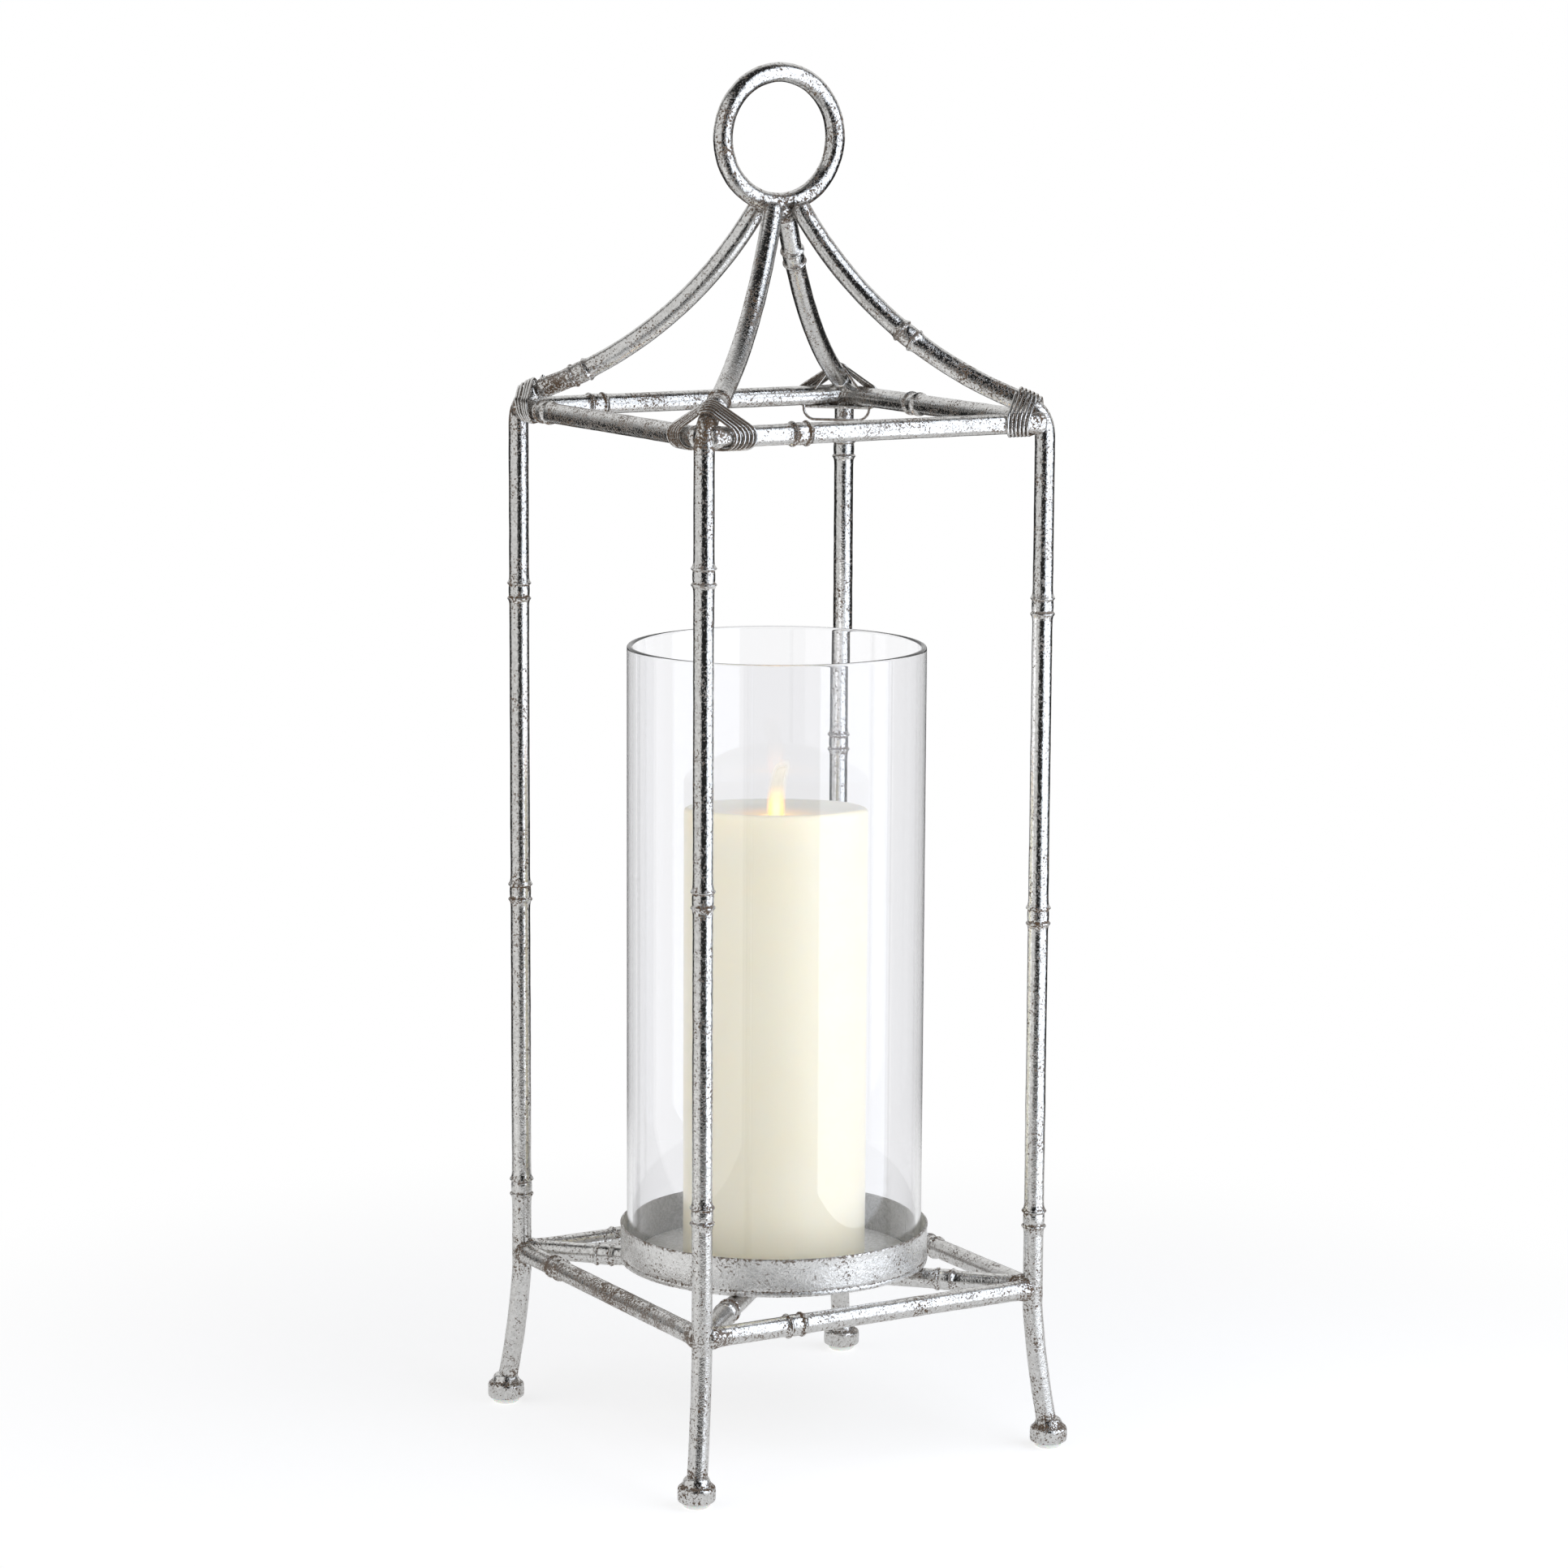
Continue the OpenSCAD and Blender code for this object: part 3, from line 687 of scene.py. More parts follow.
class LANTERN_OT_lashings(bpy.types.Operator):
    """Wind tie wire round the four top corners"""
    bl_idname = "lantern.lashings"
    bl_label = "Corner lashings"

    def execute(self, context):
        cage = settings()
        lashing = settings("lashing")
        for name in CORNERS:
            turns = lashing.turns - (name == "left")
            path = wire_path(name, turns)
            if name == "left":
                end, up = path[-1], Vector((-0.6, -0.3, 1)).normalized()
                path += [end + up * (n * 1.2 * MM) for n in range(1, 4)]
            wire = wound("lashing_" + name, path, lashing.wire)
            if name == "back":
                loop = turn_outline(9 * MM, 9 * MM, lashing.reach, 6 * MM)
                inner = [Vector((cage.post_out - (15.5 - 0.08 * (z - cage.top_rail) / MM) * MM, x, z))
                         for x, z in evenly(loop, WIRE_STEPS)]
                joined(wire, wound("Loop", inner, lashing.wire, cyclic=True))
            # Faces turned to the neighbouring turns take full patina: patina and painted shade in the gaps
            # between turns
            mark(wire, "patina", lambda normal: 1.0 if abs(normal.x) > 0.72 else 0.2, "normal")
            placed(wire, corner(name))
            smooth(wire)
            handed_in(wire, "frame", "tie_wire", "tie_wire_" + name)
        return {"FINISHED"}


# ---------------- tray, glass and candle

class LANTERN_OT_tray(bpy.types.Operator):
    """Build the tray's bent rim and its floor"""
    bl_idname = "lantern.tray"
    bl_label = "Tray"

    def execute(self, context):
        outer = RIM_HIGH.x / MM
        low, high = RIM_LOW.z / MM, RIM_HIGH.z / MM
        inner = outer - 1.0
        outline = [
            *inset(outer, low, ((0.45, 0), (0.1, 0.15), (0, 0.5), (0, 1.7), (0.12, 2.1), (0.32, 2.3),
                                (0.36, 2.6), (0.22, 3.2))),
            *[(outer - 0.2, low + 4 + (high - low - 7) * n / 6) for n in range(7)],
            *inset(outer, high, ((0.1, -1.4), (0, -0.7), (0.04, -0.25), (0.3, 0))),
            *inset(inner, high, ((-0.2, 0), (0.02, -0.25), (0, -0.9))),
            *[(inner, high - 2 - (high - low - 4) * n / 6) for n in range(7)],
            *inset(inner, low, ((-0.05, 0.3), (-0.3, 0)))]
        rim = turned("tray_band", outline, 180)

        def stain(point):
            z = point.z / MM
            edge = exp(-((z - high) / 0.9) ** 2)
            step = 0.8 * exp(-((z - low - 2.45) / 0.35) ** 2)
            return max(0.8 * edge, step, 0.5 * exp(-((z - low) / 0.6) ** 2))
        mark(rim, "patina", stain)
        # Inner faces of the band, which the tray finish paints lighter: partly their own tone, partly
        # painted light
        mark(rim, "inside", lambda point: hypot(point.x, point.y) < (inner + 0.15) * MM)
        uneven(rim, "Tray", 20, 0.09)
        turn = radians(-8)
        spot = Vector((cos(turn) * (outer - 0.1) * MM, sin(turn) * (outer - 0.1) * MM, (low + 8.5) * MM))
        bead = weld_bead((1.0, 0.9, 6.4), (0, 0, 0), 0.16)
        placed(bead, shifted(*spot) @ Matrix.Rotation(turn, 4, "Z"))
        joined(rim, bead)
        smooth(rim, 50)
        handed_in(rim, "frame", "tray_silver", "tray_rim")

        radius = FLOOR_HIGH.x / MM
        base, top = FLOOR_LOW.z / MM, FLOOR_HIGH.z / MM
        plate = drawn("tray_plate", [(base * MM, (radius - 0.3) * MM), ((base + 0.25) * MM, radius * MM),
                                     ((top - 0.2) * MM, radius * MM), (top * MM, (radius - 0.25) * MM)], 180)
        mark(plate, "patina", lambda point: 0.75 * (hypot(point.x, point.y) > (radius - 1) * MM))
        # Top of the floor, which the tray finish paints lighter: partly its own tone, partly painted light
        mark(plate, "inside", lambda point: point.z > (top - 0.3) * MM)
        smooth(plate, 40)
        handed_in(plate, "frame", "tray_silver", "tray_floor")
        return {"FINISHED"}


class LANTERN_OT_glass(bpy.types.Operator):
    """Build the open glass cylinder with its fire-polished rim"""
    bl_idname = "lantern.glass"
    bl_label = "Glass cylinder"

    def execute(self, context):
        outer = GLASS_HIGH.x / MM
        low, high = GLASS_LOW.z / MM, GLASS_HIGH.z / MM
        wall = 2.6
        inner, half = outer - wall, wall / 2
        rim = [(outer - half + half * cos(t), high - half + half * sin(t))
               for t in (pi * n / 10 for n in range(11))]
        walls = [*(low + up for up in (0.8, 1.6, 5, 70, 140, 210)), high - half - 5, high - half - 1,
                 high - half - 0.3]
        outline = [
            (inner + 0.5, low), *inset(outer, low, ((0.5, 0), (0.12, 0.12), (0, 0.5))),
            *[(outer, z) for z in walls], *rim, *[(inner, z) for z in reversed(walls)],
            (inner, low + 0.5), (inner + 0.12, low + 0.12)]
        glass = turned("glass_shade", outline, 192)
        smooth(glass)
        handed_in(glass, "glass", "clear_glass", "glass_cylinder")
        return {"FINISHED"}


class LANTERN_OT_wax(bpy.types.Operator):
    """Build the wax shell with its melted rim and dished top"""
    bl_idname = "lantern.wax"
    bl_label = "Wax shell"

    def execute(self, context):
        r = WAX_HIGH.x / MM
        low, high = WAX_LOW.z / MM, WAX_HIGH.z / MM
        bore = 40.4
        dish = high - 8
        sleeve = high - 13
        outline = [
            (bore, low + 0.1), (bore + 0.3, low), *inset(r, low, ((0.7, 0), (0.15, 0.2), (0, 0.8))),
            *[(r, low + (high - 3.2 - low) * n / 12) for n in range(1, 12)],
            *inset(r, high, ((0, -3.2), (0.25, -1.7), (0.9, -0.6), (1.7, -0.12), (2.6, 0), (3.5, -0.2),
                             (4.7, -0.9), (6.3, -2.1), (8.5, -3.5), (12, -4.9), (17, -6.1), (24, -7.0))),
            (11.5, dish + 0.35), (9.3, dish + 0.2), (8.4, dish - 0.1), (8, dish - 0.8),
            (8, sleeve + 1.7), (8.2, sleeve + 1.5), (21.8, sleeve + 1.5), (22, sleeve + 1.3),
            (22, sleeve), (bore, sleeve), (bore, sleeve - 60), (bore, sleeve - 130)]
        wax = turned("wax_pillar", outline, 128)
        lean = radians(-30)

        # Painted light: the flame's warm glow on the wax top, strongest at the axis and fading over about 17
        # mm
        def flame_glow_pool(point):
            return exp(-(hypot(point.x, point.y) / (17 * MM)) ** 2) * (point.z > (dish - 1) * MM)
        for vertex in wax.data.vertices:
            rise = vertex.co.z - dish * MM
            if rise > 0:
                out = hypot(vertex.co.x, vertex.co.y)
                back = (vertex.co.y * cos(lean) - vertex.co.x * sin(lean)) / out
                vertex.co.z -= rise * (0.41 * (1 + back) + 0.04 * sin(5 * back + 1))
        group = wax.vertex_groups.new(name="Outside")
        outside = [v.index for v in wax.data.vertices
                   if hypot(v.co.x, v.co.y) > (r - 0.5) * MM or v.co.z > (dish + 0.3) * MM]
        group.add(outside, 1.0, "REPLACE")
        uneven(wax, "Wax", 35, 0.5, mid_level=0.75, vertex_group="Outside")
        mark(wax, "glow", flame_glow_pool)
        # The dished top, which the wax finish paints whiter: painted light on the top
        mark(wax, "dish", lambda point: point.z > (dish - 1) * MM
             and hypot(point.x, point.y) < (r - 2) * MM)
        smooth(wax, 50)
        handed_in(wax, "candle", "ivory_wax", "wax_shell")
        return {"FINISHED"}


class LANTERN_OT_flame(bpy.types.Operator):
    """Build the flame's soft blade on its stem"""
    bl_idname = "lantern.flame"
    bl_label = "Flame"

    def execute(self, context):
        pivot = WAX_HIGH.z - 25 * MM
        tip = FLAME_HIGH.z - pivot
        stem = ((FLAME_LOW.z - pivot) / MM, 2.2), (-3.0, 2.2), (-1.4, 2.2)
        bulb = [(tip / MM * share_up, wide) for share_up, wide in
                ((0.03, 2.2), (0.15, 2.2), (0.29, 2.2), (0.35, 3.3), (0.40, 4.6), (0.47, 5.6),
                 (0.56, 6.3), (0.65, 6.3), (0.75, 6.0), (0.82, 5.6), (0.89, 5.0), (0.95, 3.8), (0.99, 1.8))]
        flame = drawn("flame_film", [(z * MM, w * MM) for z, w in (*stem, *bulb)], 24)
        width = 6.4
        placed(flame, shifted(0, 0, pivot) @ Matrix.Diagonal((1, 0.4 / width, 1, 1)))

        def sway(height):
            return 5.0 * MM * max(0.0, (height - WAX_HIGH.z) / (FLAME_HIGH.z - WAX_HIGH.z)) ** 2
        for vertex in flame.data.vertices:
            vertex.co.x += sway(vertex.co.z)
        mark(flame, "rise", lambda point: (point.z - WAX_HIGH.z + 9 * MM) / (tip - 16 * MM))
        mark(flame, "across", lambda point: abs(point.x - sway(point.z)) / (width * MM))
        smooth(flame)
        handed_in(flame, "flame", "flame_film", "flame_blade")
        return {"FINISHED"}


# ---------------- finishes

class Sheet:
    """A node tree with short ways to add and join nodes."""

    def __init__(self, tree):
        self.tree = tree
        self.nodes = tree.nodes
        self.nodes.clear()

    def add(self, kind, inputs=None, **values):
        node = self.nodes.new("ShaderNode" + kind)
        for key, value in values.items():
            setattr(node, key, value)
        for key, value in (inputs or {}).items():
            self.feed(node.inputs[key], value)
        return node

    def feed(self, socket, value):
        if isinstance(value, bpy.types.NodeSocket):
            self.tree.links.new(value, socket)
        else:
            socket.default_value = (*value, 1.0) if socket.type == "RGBA" else value

    def wire(self, node, **values):
        """Feeds a node's inputs, written here with _ for each space."""
        for label, value in values.items():
            self.feed(node.inputs[label.replace("_", " ")], value)

    def math(self, operation, a, b, clamp=False):
        return self.add("Math", {0: a, 1: b}, operation=operation, use_clamp=clamp).outputs[0]

    def plus(self, a, b):
        return self.math("ADD", a, b)

    def minus(self, a, b):
        return self.math("SUBTRACT", a, b)

    def times(self, a, b):
        return self.math("MULTIPLY", a, b)

    def light(self, kind, strength, shade=(1, 1, 1)):
        """Emission or Background, as kind says."""
        return self.add(kind, {"Color": shade, "Strength": strength}).outputs[0]

    def mixed(self, factor, a, b):
        return self.add("MixShader", {0: factor, 1: a, 2: b}).outputs[0]

    def marked(self, name):
        return self.add("Attribute", attribute_name=name).outputs["Fac"]

    def blend(self, factor, a, b):
        node = self.add("Mix", data_type="RGBA")
        self.feed(node.inputs[0], factor)
        self.feed(node.inputs[6], a)
        self.feed(node.inputs[7], b)
        return node.outputs[2]

    def ramp(self, value, low, high, start=0.0, end=1.0):
        node = self.add(
            "MapRange", {0: value, 1: low, 2: high, 3: start, 4: end}, interpolation_type="SMOOTHSTEP")
        return node.outputs[0]

    def noise(self, vector, scale, detail=3.0, rough=0.55, distortion=0.0):
        return self.add("TexNoise", {"Vector": vector, "Scale": scale, "Detail": detail,
                                     "Roughness": rough, "Distortion": distortion}).outputs[0]

    def place(self):
        return self.add("TexCoord").outputs["Object"]


def group(name, inputs, outputs, fill):
    """A shader node group, built once: inputs with their defaults, outputs by name."""
    tree = bpy.data.node_groups.get(name)
    if tree:
        return tree
    tree = bpy.data.node_groups.new(name, "ShaderNodeTree")
    for label, default in inputs.items():
        colours = isinstance(default, tuple)
        kind = "NodeSocketColor" if colours else "NodeSocketFloat"
        socket = tree.interface.new_socket(label, in_out="INPUT", socket_type=kind)
        socket.default_value = (*default, 1.0) if colours else default
    for label in outputs:
        kind = "NodeSocketColor" if label == "Color" else "NodeSocketFloat"
        tree.interface.new_socket(label, in_out="OUTPUT", socket_type=kind)
    sheet = Sheet(tree)
    entry, leave = (tree.nodes.new("NodeGroup" + way) for way in ("Input", "Output"))
    for label, value in fill(sheet, entry.outputs).items():
        sheet.feed(leave.inputs[label], value)
    return tree


def leaf_marks(sheet, given):
    """Silver leaf over hammered iron: flecks rubbed through, dull clouds, brown hollows, and painted shade
    where the patina mark holds it.
    """
    place = sheet.place()
    crinkle = sheet.noise(place, given["Grain"], 2.5, 0.6, 0.4)
    cloud = sheet.noise(place, 95.0, 3.0, 0.6)
    broad = sheet.noise(place, 28.0, 2.0, 0.5)
    wear_and_shade = sheet.plus(sheet.times(given["Patina"], 0.22),
                      sheet.times(given["Flecks"], sheet.ramp(cloud, 0.35, 0.70, 0.3, 0.6)))
    edge = sheet.minus(0.76, wear_and_shade)
    fleck = sheet.ramp(crinkle, edge, sheet.plus(edge, 0.07))
    fleck = sheet.times(fleck, sheet.ramp(broad, 0.30, 0.55, 0.75, 1.0))
    caked = sheet.plus(given["Patina"], sheet.times(crinkle, 1.6))
    fleck = sheet.math("MAXIMUM", fleck, sheet.ramp(caked, 1.52, 1.66, 0.0, 0.95))
    dull = sheet.ramp(sheet.noise(place, 520.0, 4.0, 0.6), 0.38, 0.66, 0.0, 0.45)
    leaf = sheet.blend(dull, given["Leaf"], given["Dull leaf"])
    shade = sheet.blend(fleck, leaf, given["Patina colour"])
    rough = sheet.plus(sheet.times(fleck, 0.34), sheet.ramp(crinkle, 0.2, 0.8, 0.06, 0.15))
    height = sheet.plus(crinkle, sheet.times(sheet.noise(place, 420.0, 2.0), 0.45))
    height = sheet.minus(height, sheet.times(fleck, 0.35))
    metal = sheet.minus(1.0, sheet.times(fleck, 0.85))
    return {"Color": shade, "Roughness": rough, "Metal": metal, "Height": height}


def leaf_group():
    # Patina is fed the patina mark, which holds real patina and, in places, painted shade
    inputs = {"Leaf": (0.8, 0.8, 0.78), "Dull leaf": (0.5, 0.5, 0.5), "Patina colour": (0.1, 0.07, 0.05),
              "Patina": 0.0, "Flecks": 0.3, "Grain": 700.0}
    return group("Aged silver leaf", inputs, ("Color", "Roughness", "Metal", "Height"), leaf_marks)


def moulded_marks(sheet, given):
    """Moulded plastic: slight clouding, fine grain and handling dullness."""
    place = sheet.place()
    cloud = sheet.noise(place, 45.0, 3.0)
    grain = sheet.noise(place, given["Grain"], 3.0, 0.6)
    shade = sheet.blend(
        sheet.ramp(cloud, 0.3, 0.7, 0.0, given["Clouding"]), given["Color"], given["Second color"])
    rough = sheet.ramp(sheet.noise(place, 130.0, 3.0), 0.3, 0.7, given["Smooth"], given["Rough"])
    return {"Color": shade, "Roughness": rough, "Height": grain}


def moulded_group():
    inputs = {"Color": (0.9, 0.9, 0.9), "Second color": (0.7, 0.7, 0.7), "Clouding": 0.6,
              "Grain": 1800.0, "Smooth": 0.35, "Rough": 0.55}
    return group("Moulded surface", inputs, ("Color", "Roughness", "Height"), moulded_marks)


def principled(name, **constants):
    """A new material with one Principled shader, given these constants."""
    made = bpy.data.materials.new(name)
    made.use_nodes = True
    sheet = Sheet(made.node_tree)
    shader = sheet.add("BsdfPrincipled")
    out = sheet.add("OutputMaterial", {0: shader.outputs[0]})
    sheet.wire(shader, **constants)
    return made, sheet, shader, out


def bump(sheet, shader, height, strength, distance):
    node = sheet.add("Bump", {"Height": height, "Strength": strength, "Distance": distance})
    sheet.feed(shader.inputs["Normal"], node.outputs[0])


def use_group(sheet, tree, **values):
    node = sheet.add("Group", node_tree=tree)
    sheet.wire(node, **values)
    return node.outputs


def silver_leaf(name, grain=1000.0, flecks=None, strength=0.72, distance=0.2, tint=1.0):
    finish = settings("finish")
    made, sheet, shader, _ = principled(name)
    marks = use_group(
        sheet, leaf_group(), Leaf=[c * tint for c in finish.silver], Dull_leaf=finish.shade,
        Patina_colour=finish.patina, Grain=grain, Patina=sheet.marked("patina"),
        Flecks=flecks or finish.fleck)
    sheet.wire(shader, Base_Color=marks["Color"], Roughness=marks["Roughness"], Metallic=marks["Metal"])
    bump(sheet, shader, marks["Height"], strength, distance * MM)
    return made


def tray_leaf(name):
    """Silver leaf brushed on in swirls over sheet iron; the inner faces get a duller, lighter colour, partly
    their own swirled tone and partly painted light.
    """
    made, sheet, shader, _ = principled(name)
    swirl = sheet.noise(sheet.place(), 210.0, 4.0, 0.6, 3.0)
    marks = use_group(
        sheet, leaf_group(), Leaf=(0.90, 0.895, 0.88), Dull_leaf=(0.68, 0.67, 0.65),
        Patina_colour=settings("finish").patina, Patina=sheet.marked("patina"), Grain=800.0, Flecks=0.40)
    shade = sheet.blend(sheet.ramp(swirl, 0.42, 0.60, 0.0, 0.25), marks["Color"], (0.84, 0.835, 0.82))
    # Inner faces: the leaf's swirled tone, lifted towards white as painted light for the light reaching the
    # inside of the tray
    inside = sheet.marked("inside")
    inside_swirl_and_painted_light = sheet.blend(sheet.ramp(swirl, 0.40, 0.62), (0.99, 0.99, 0.96), (0.74, 0.75, 0.71))
    rough = sheet.plus(marks["Roughness"], sheet.ramp(swirl, 0.4, 0.65, 0.0, 0.18))
    metal = sheet.times(marks["Metal"], sheet.ramp(inside, 0.0, 1.0, 0.70, 0.12))
    sheet.wire(shader, Base_Color=sheet.blend(sheet.times(inside, 0.85), shade, inside_swirl_and_painted_light),
               Roughness=sheet.plus(rough, sheet.times(inside, 0.28)), Metallic=metal)
    bump(sheet, shader, sheet.plus(marks["Height"], swirl), 0.8, 0.2 * MM)
    return made


def moulded(name, first, second, gloss=(0.35, 0.55), constants=None, grain=1800.0, strength=0.15):
    made, sheet, shader, _ = principled(name, **(constants or {}))
    marks = use_group(sheet, moulded_group(), Color=first, Second_color=second, Smooth=gloss[0],
                      Rough=gloss[1], Grain=grain, Clouding=0.6)
    sheet.wire(shader, Base_Color=marks["Color"], Roughness=marks["Roughness"])
    bump(sheet, shader, marks["Height"], strength, 0.08 * MM)
    return made


def clear_glass(name):
    """Clear glass that lets the lamps' light through to what stands inside."""
    made, sheet, shader, out = principled(name, Transmission_Weight=1.0, IOR=1.47, Roughness=0.0)
    sheet.wire(shader, Base_Color=(0.935, 0.935, 0.945))
    clear = sheet.add("BsdfTransparent", {"Color": (0.94, 0.94, 0.95)}).outputs[0]
    shadow = sheet.add("LightPath").outputs["Is Shadow Ray"]
    sheet.feed(out.inputs[0], sheet.mixed(shadow, shader.outputs[0], clear))
    return made


def ivory_wax(name):
    finish = settings("finish")
    made, sheet, shader, _ = principled(
        name, Subsurface_Weight=0.35, Subsurface_Scale=0.012, Coat_Weight=1.0, Coat_IOR=1.65,
        Coat_Roughness=0.35, IOR=1.44, Subsurface_Radius=(1.0, 0.75, 0.5), Emission_Strength=0.8)
    marks = use_group(sheet, moulded_group(), Color=finish.wax, Second_color=(0.93, 0.84, 0.64),
                      Smooth=0.38, Rough=0.52, Grain=420.0, Clouding=0.8)
    # Painted light: the flame's glow on the wax round it, given as a warmer base colour and as emission from
    # the wax
    flame_glow_pool = sheet.marked("glow")
    # Painted light: the dished top is painted whiter for the light that falls on it
    dish = sheet.times(sheet.marked("dish"), 0.7)
    shade = sheet.blend(dish, marks["Color"], (0.98, 0.95, 0.87))
    sheet.wire(
        shader, Base_Color=sheet.blend(flame_glow_pool, shade, (0.98, 0.78, 0.55)), Roughness=marks["Roughness"],
        Emission_Color=sheet.blend(flame_glow_pool, (0, 0, 0), [c * 0.8 for c in finish.glow]))
    bump(sheet, shader, marks["Height"], 0.1, 0.1 * MM)
    return made


def flame_film(name):
    """Film lit from below: bright and warm at its foot, pale and thin at its tip."""
    made, sheet, shader, _ = principled(
        name, Roughness=0.5, Emission_Strength=settings("finish").glow_strength)
    rise, across = sheet.marked("rise"), sheet.marked("across")
    core = sheet.blend(sheet.ramp(across, 0.1, 0.6), (1.0, 0.80, 0.50), (0.95, 0.48, 0.20))
    thin = sheet.times(sheet.ramp(rise, 0.15, 0.65, 1.0, 0.42), sheet.ramp(across, 0.20, 0.92, 1.0, 0.0))
    sheet.wire(shader, Alpha=sheet.times(thin, sheet.ramp(rise, 0.80, 1.0, 1.0, 0.1)),
               Base_Color=sheet.blend(sheet.ramp(rise, 0.15, 0.6), (1.0, 0.62, 0.28), (0.74, 0.70, 0.58)),
               Emission_Color=sheet.blend(sheet.ramp(rise, 0.15, 0.62), core, (0.10, 0.08, 0.04)))
    return made


# The finish of each slot: what makes it, its name, and what else it is given
FINISHES = {
    "antique_silver": (silver_leaf, "Aged silver leaf on rods"),
    "tray_silver": (tray_leaf, "Aged silver leaf on sheet iron"),
    "tie_wire": (silver_leaf, "Silvered tie wire", 1500.0, 0.2, 0.2, 0.05, 1.05),
    "clear_glass": (clear_glass, "Clear glass"),
    "ivory_wax": (ivory_wax, "Ivory wax"),
    "flame_film": (flame_film, "Flame film"),
    "bumper_rubber": (moulded, "Clear bumper", (0.88, 0.88, 0.84), (0.80, 0.80, 0.76), (0.15, 0.3),
                      {"Subsurface_Weight": 0.4, "Subsurface_Scale": 0.004}),
    "white_plastic": (moulded, "White plastic", (0.86, 0.86, 0.82), (0.80, 0.80, 0.76)),
    "black_plastic": (moulded, "Black plastic", (0.035, 0.035, 0.037), (0.06, 0.06, 0.06)),
    "battery_jacket": (moulded, "Cell jacket", (0.45, 0.32, 0.16), (0.36, 0.25, 0.12), (0.2, 0.35),
                       {"Metallic": 0.7}),
    "contact_metal": (moulded, "Contact metal", (0.80, 0.68, 0.38), (0.62, 0.50, 0.26), (0.22, 0.4),
                      {"Metallic": 1.0}),
    "board_green": (moulded, "Solder mask", (0.02, 0.20, 0.08), (0.03, 0.27, 0.11), (0.2, 0.32)),
    "wire_red": (moulded, "Red wire", (0.55, 0.04, 0.04), (0.46, 0.03, 0.03), (0.3, 0.4)),
    "plated_steel": (moulded, "Plated steel", (0.66, 0.66, 0.66), (0.52, 0.52, 0.52), (0.2, 0.38),
                     {"Metallic": 1.0}),
    "copper_wire": (moulded, "Copper winding", (0.72, 0.34, 0.16), (0.55, 0.24, 0.11), (0.22, 0.35),
                    {"Metallic": 1.0}, 5200.0, 0.5),
    "lamp_lens": (moulded, "Lamp lens", (0.95, 0.82, 0.55), (0.92, 0.76, 0.48), (0.05, 0.12),
                  {"Transmission_Weight": 0.5})}
MADE = {}


def material(slot):
    if slot not in MADE:
        make, *given = FINISHES[slot]
        MADE[slot] = make(*given)
    return MADE[slot]


class LANTERN_OT_fittings(bpy.types.Operator):
    """Give the candle's carried-over inner pieces their finishes"""
    bl_idname = "lantern.fittings"
    bl_label = "Candle fittings"

    def execute(self, context):
        slots = {part["node"]: part["material_slot"] for part in frame["record"]["subparts"]}
        for name, node in frame["nodes"].items():
            if node.hide_render:
                continue
            finish = material(slots[name])
            if not node.data.materials:
                node.data.materials.append(finish)
            for k in range(len(node.material_slots)):
                node.material_slots[k].material = finish
        return {"FINISHED"}


# ---------------- stage

def round_lantern(azimuth, distance, height):
    """Point round the lantern, at an angle to the right of where the camera stands."""
    turn = settings("stage").azimuth + radians(azimuth)
    return Vector((sin(turn) * distance, -cos(turn) * distance, height))


def facing(place, target):
    """Matrix at a place whose -Z looks at a target."""
    turn = (target - place).to_track_quat("-Z", "Y").to_matrix().to_4x4()
    return Matrix.Translation(place) @ turn


def soft_box(name, azimuth, distance, height, size, power, shade, aim):
    """A lamp of (width, height) size, turned to the lantern's axis at the height aim."""
    deselect_all()
    bpy.ops.object.light_add(type="AREA")
    lamp = bpy.context.object
    lamp.name = name
    lamp.data.shape = "RECTANGLE"
    lamp.data.size, lamp.data.size_y = size
    lamp.data.energy = power
    lamp.data.color = shade
    place = round_lantern(azimuth, distance, height)
    lamp.matrix_world = facing(place, Vector((0, 0, aim)))
    lamp.visible_camera = False
    return lamp


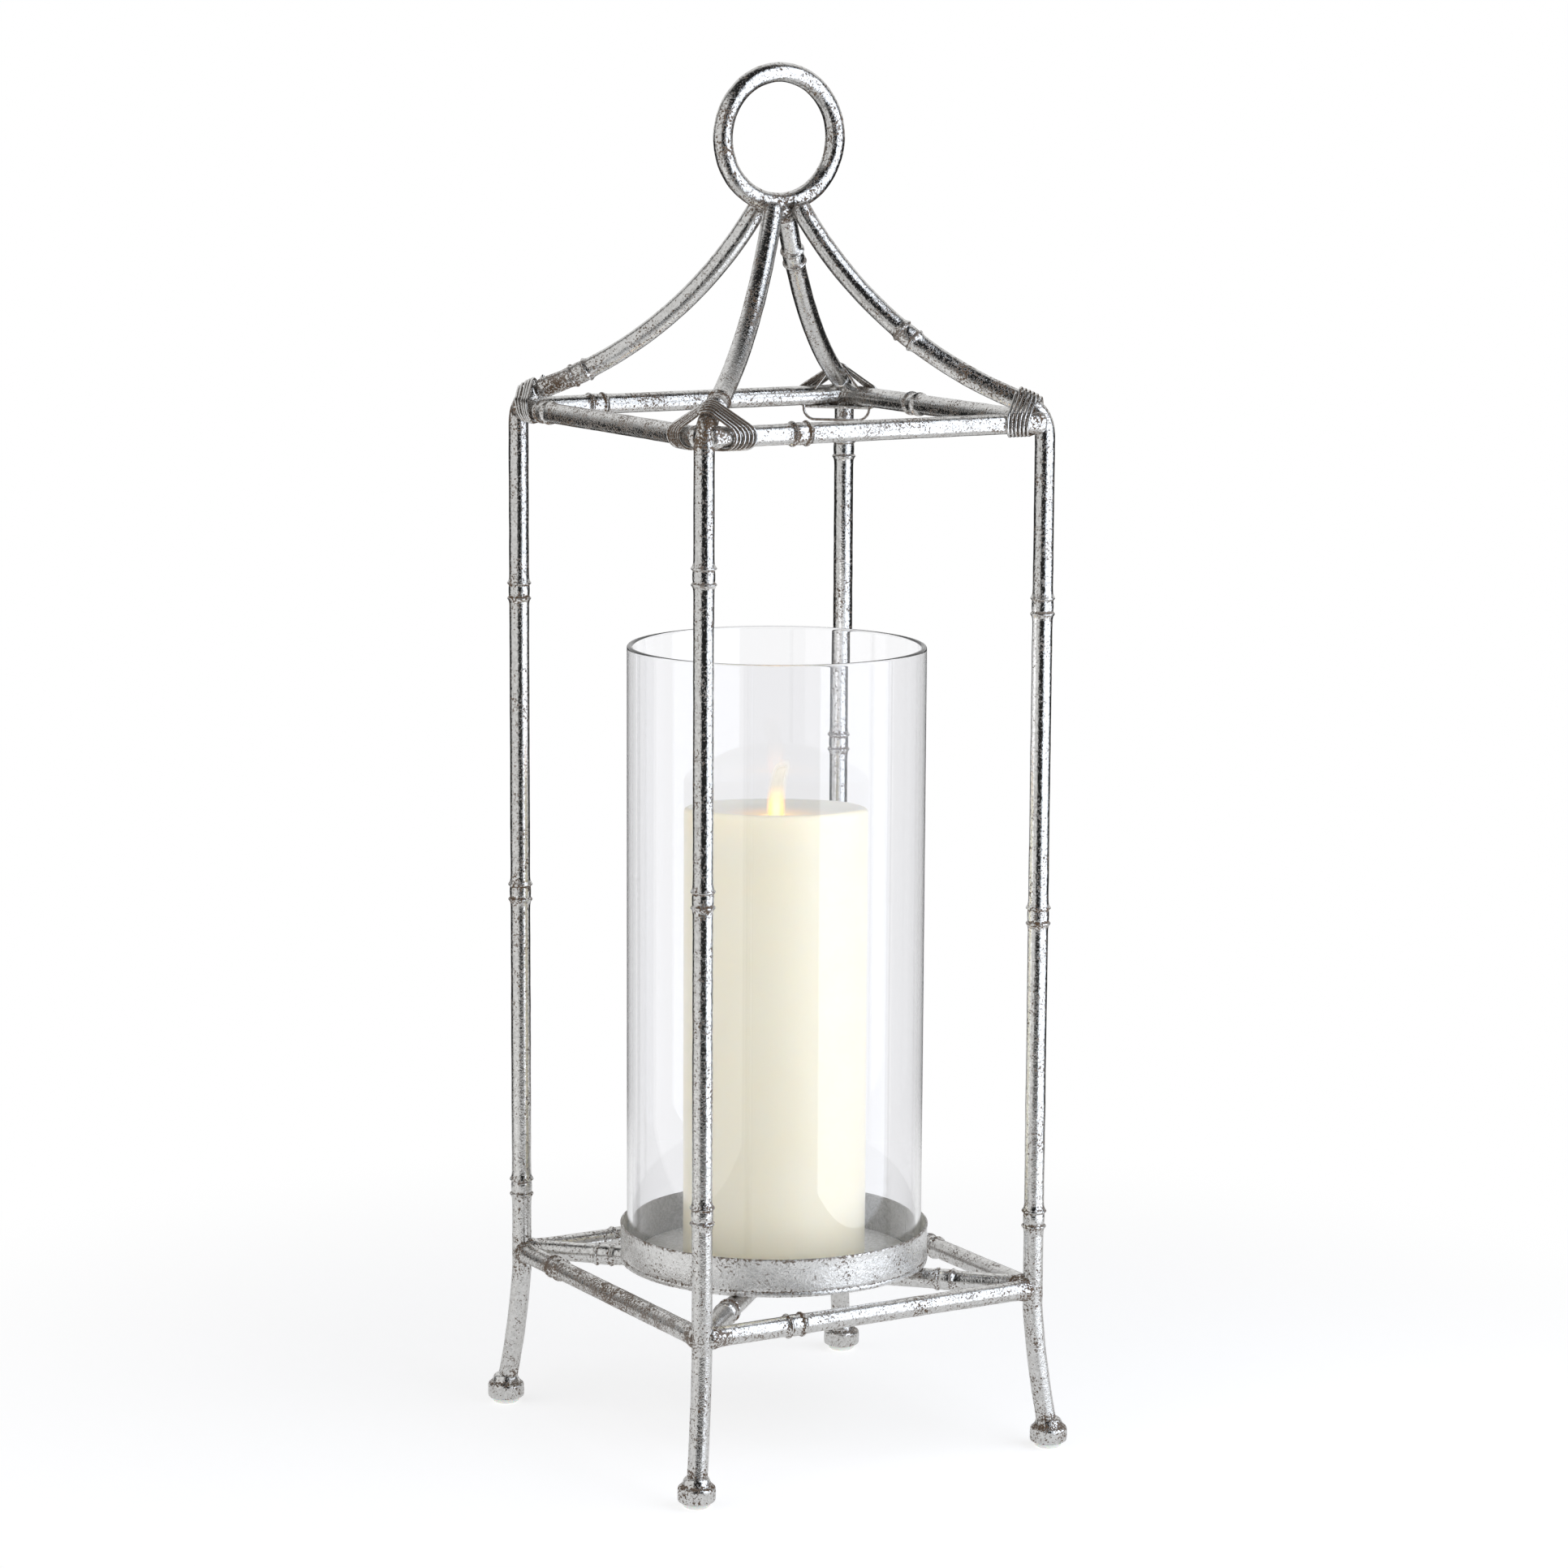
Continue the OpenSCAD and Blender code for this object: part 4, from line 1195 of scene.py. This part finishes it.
class LANTERN_OT_stage(bpy.types.Operator):
    """Set up the floor, the lamps and the camera"""
    bl_idname = "lantern.stage"
    bl_label = "Stage"

    def execute(self, context):
        stage = settings("stage")
        deselect_all()
        bpy.ops.mesh.primitive_circle_add(vertices=96, radius=60, fill_type="NGON")
        floor = context.object
        floor.name = "Floor"
        made = bpy.data.materials.new("Studio floor")
        made.use_nodes = True
        sheet = Sheet(made.node_tree)
        far = sheet.add("VectorMath", {0: sheet.place()}, operation="LENGTH").outputs["Value"]
        diffuse = sheet.add("BsdfDiffuse", {"Color": (0.40, 0.40, 0.405)}).outputs[0]
        near = sheet.add("AddShader", {0: diffuse, 1: sheet.light("Emission", 0.735)}).outputs[0]
        paper = sheet.mixed(sheet.ramp(far, 0.22, 0.60), near, sheet.light("Emission", 1.0))
        path = sheet.add("LightPath").outputs
        shiny = sheet.math("SUBTRACT", path["Is Glossy Ray"], path["Is Transmission Ray"], clamp=True)
        past = sheet.times(shiny, sheet.ramp(far, 0.5, 0.8, 0.3, 1.0))
        shade = sheet.mixed(past, paper, sheet.light("Emission", stage.dark))
        sheet.add("OutputMaterial", {0: shade})
        made.cycles.emission_sampling = "NONE"
        floor.data.materials.append(made)

        world = bpy.data.worlds.new("Room")
        context.scene.world = world
        world.use_nodes = True
        sheet = Sheet(world.node_tree)
        dim, gloom, bright = (
            sheet.light("Background", 1.0, (v, v, v)) for v in (stage.sky, stage.dark, 1.0))
        path = sheet.add("LightPath").outputs
        through = sheet.math("MAXIMUM", path["Is Camera Ray"], path["Is Transmission Ray"])
        again = sheet.math("MINIMUM", path["Glossy Depth"], 1.0)
        seen = sheet.light("Background", sheet.ramp(again, 0.0, 1.0, 1.0, 0.5))
        ray = sheet.add("TexCoord").outputs["Generated"]
        backwards = (-sin(stage.azimuth), cos(stage.azimuth), 0.3)
        ahead = sheet.add("VectorMath", {0: ray, 1: backwards}, operation="DOT_PRODUCT").outputs["Value"]
        mirrored = sheet.mixed(sheet.ramp(ahead, 0.45, 0.85, 0.0, 0.8), gloom, bright)
        room = sheet.mixed(path["Is Glossy Ray"], dim, mirrored)
        sheet.add("OutputWorld", {0: sheet.mixed(through, room, seen)})

        tall = 1.24
        soft_box("Key", 65, 0.50, tall / 2, (0.65, tall), stage.key, (0.94, 1.0, 1.10), tall / 2)
        soft_box("Fill", -64, 0.55, tall / 2, (0.92, tall), stage.fill, (1, 1, 1), tall / 2)
        for name, azimuth, distance, height, part in (
                ("Wash left", -40, 0.6, 1.7, 0.75), ("Wash right", 50, 0.9, 1.6, 0.58)):
            lamp = soft_box(
                name, azimuth, distance, height, (1, 1), stage.wash * part, (0.95, 0.99, 1.08), 0.3)
            lamp.visible_glossy = False

        deselect_all()
        bpy.ops.object.camera_add()
        camera = context.object
        camera.name = "Camera"
        out_way = Vector((sin(stage.azimuth) * cos(stage.elevation),
                          -cos(stage.azimuth) * cos(stage.elevation),
                          sin(stage.elevation)))
        right = Vector((cos(stage.azimuth), sin(stage.azimuth), 0))
        up = out_way.cross(right)
        right = right * cos(stage.roll) + up * sin(stage.roll)
        up = out_way.cross(right)
        turn = Matrix((right, up, out_way)).transposed().to_4x4()
        camera.matrix_world = Matrix.Translation(
            Vector((0, 0, stage.target)) + out_way * stage.distance) @ turn
        camera.data.lens = stage.lens
        camera.data.sensor_width = 36
        camera.data.shift_x = 0.0051
        camera.data.shift_y = 0.0238
        camera.data.clip_end = 200
        context.scene.camera = camera
        context.scene.view_settings.view_transform = "Standard"
        return {"FINISHED"}


# ---------------- add-on

class LANTERN_PT_panel(bpy.types.Panel):
    """Lists the lantern's pieces"""
    bl_idname = "LANTERN_PT_panel"
    bl_label = "Lantern"
    bl_space_type = "VIEW_3D"
    bl_region_type = "UI"
    bl_category = "Lantern"

    def draw(self, context):
        for owner in (getattr(context.scene, name) for name in GROUPS):
            box = self.layout.box()
            for name in owner.bl_rna.properties.keys():
                if name not in ("rna_type", "name"):
                    box.prop(owner, name)
        for step in STEPS:
            self.layout.operator(step.bl_idname)


GROUPS = {"lantern_cage": LanternCage, "lantern_lashing": LanternLashing,
          "lantern_finish": LanternFinish, "lantern_stage": LanternStage}
STEPS = (
    LANTERN_OT_posts, LANTERN_OT_roof_ribs, LANTERN_OT_rails, LANTERN_OT_braces, LANTERN_OT_legs,
    LANTERN_OT_bumpers, LANTERN_OT_ring, LANTERN_OT_lashings, LANTERN_OT_tray, LANTERN_OT_glass,
    LANTERN_OT_wax, LANTERN_OT_flame, LANTERN_OT_fittings, LANTERN_OT_stage)


def register():
    for name, kind in GROUPS.items():
        bpy.utils.register_class(kind)
        setattr(bpy.types.Scene, name, bpy.props.PointerProperty(type=kind))
    for kind in (*STEPS, LANTERN_PT_panel):
        bpy.utils.register_class(kind)


def unregister():
    for kind in (LANTERN_PT_panel, *reversed(STEPS)):
        bpy.utils.unregister_class(kind)
    for name, kind in GROUPS.items():
        delattr(bpy.types.Scene, name)
        bpy.utils.unregister_class(kind)


def main():
    register()
    for step in STEPS:
        area, name = step.bl_idname.split(".")
        getattr(getattr(bpy.ops, area), name)()


if __name__ == "__main__":
    main()
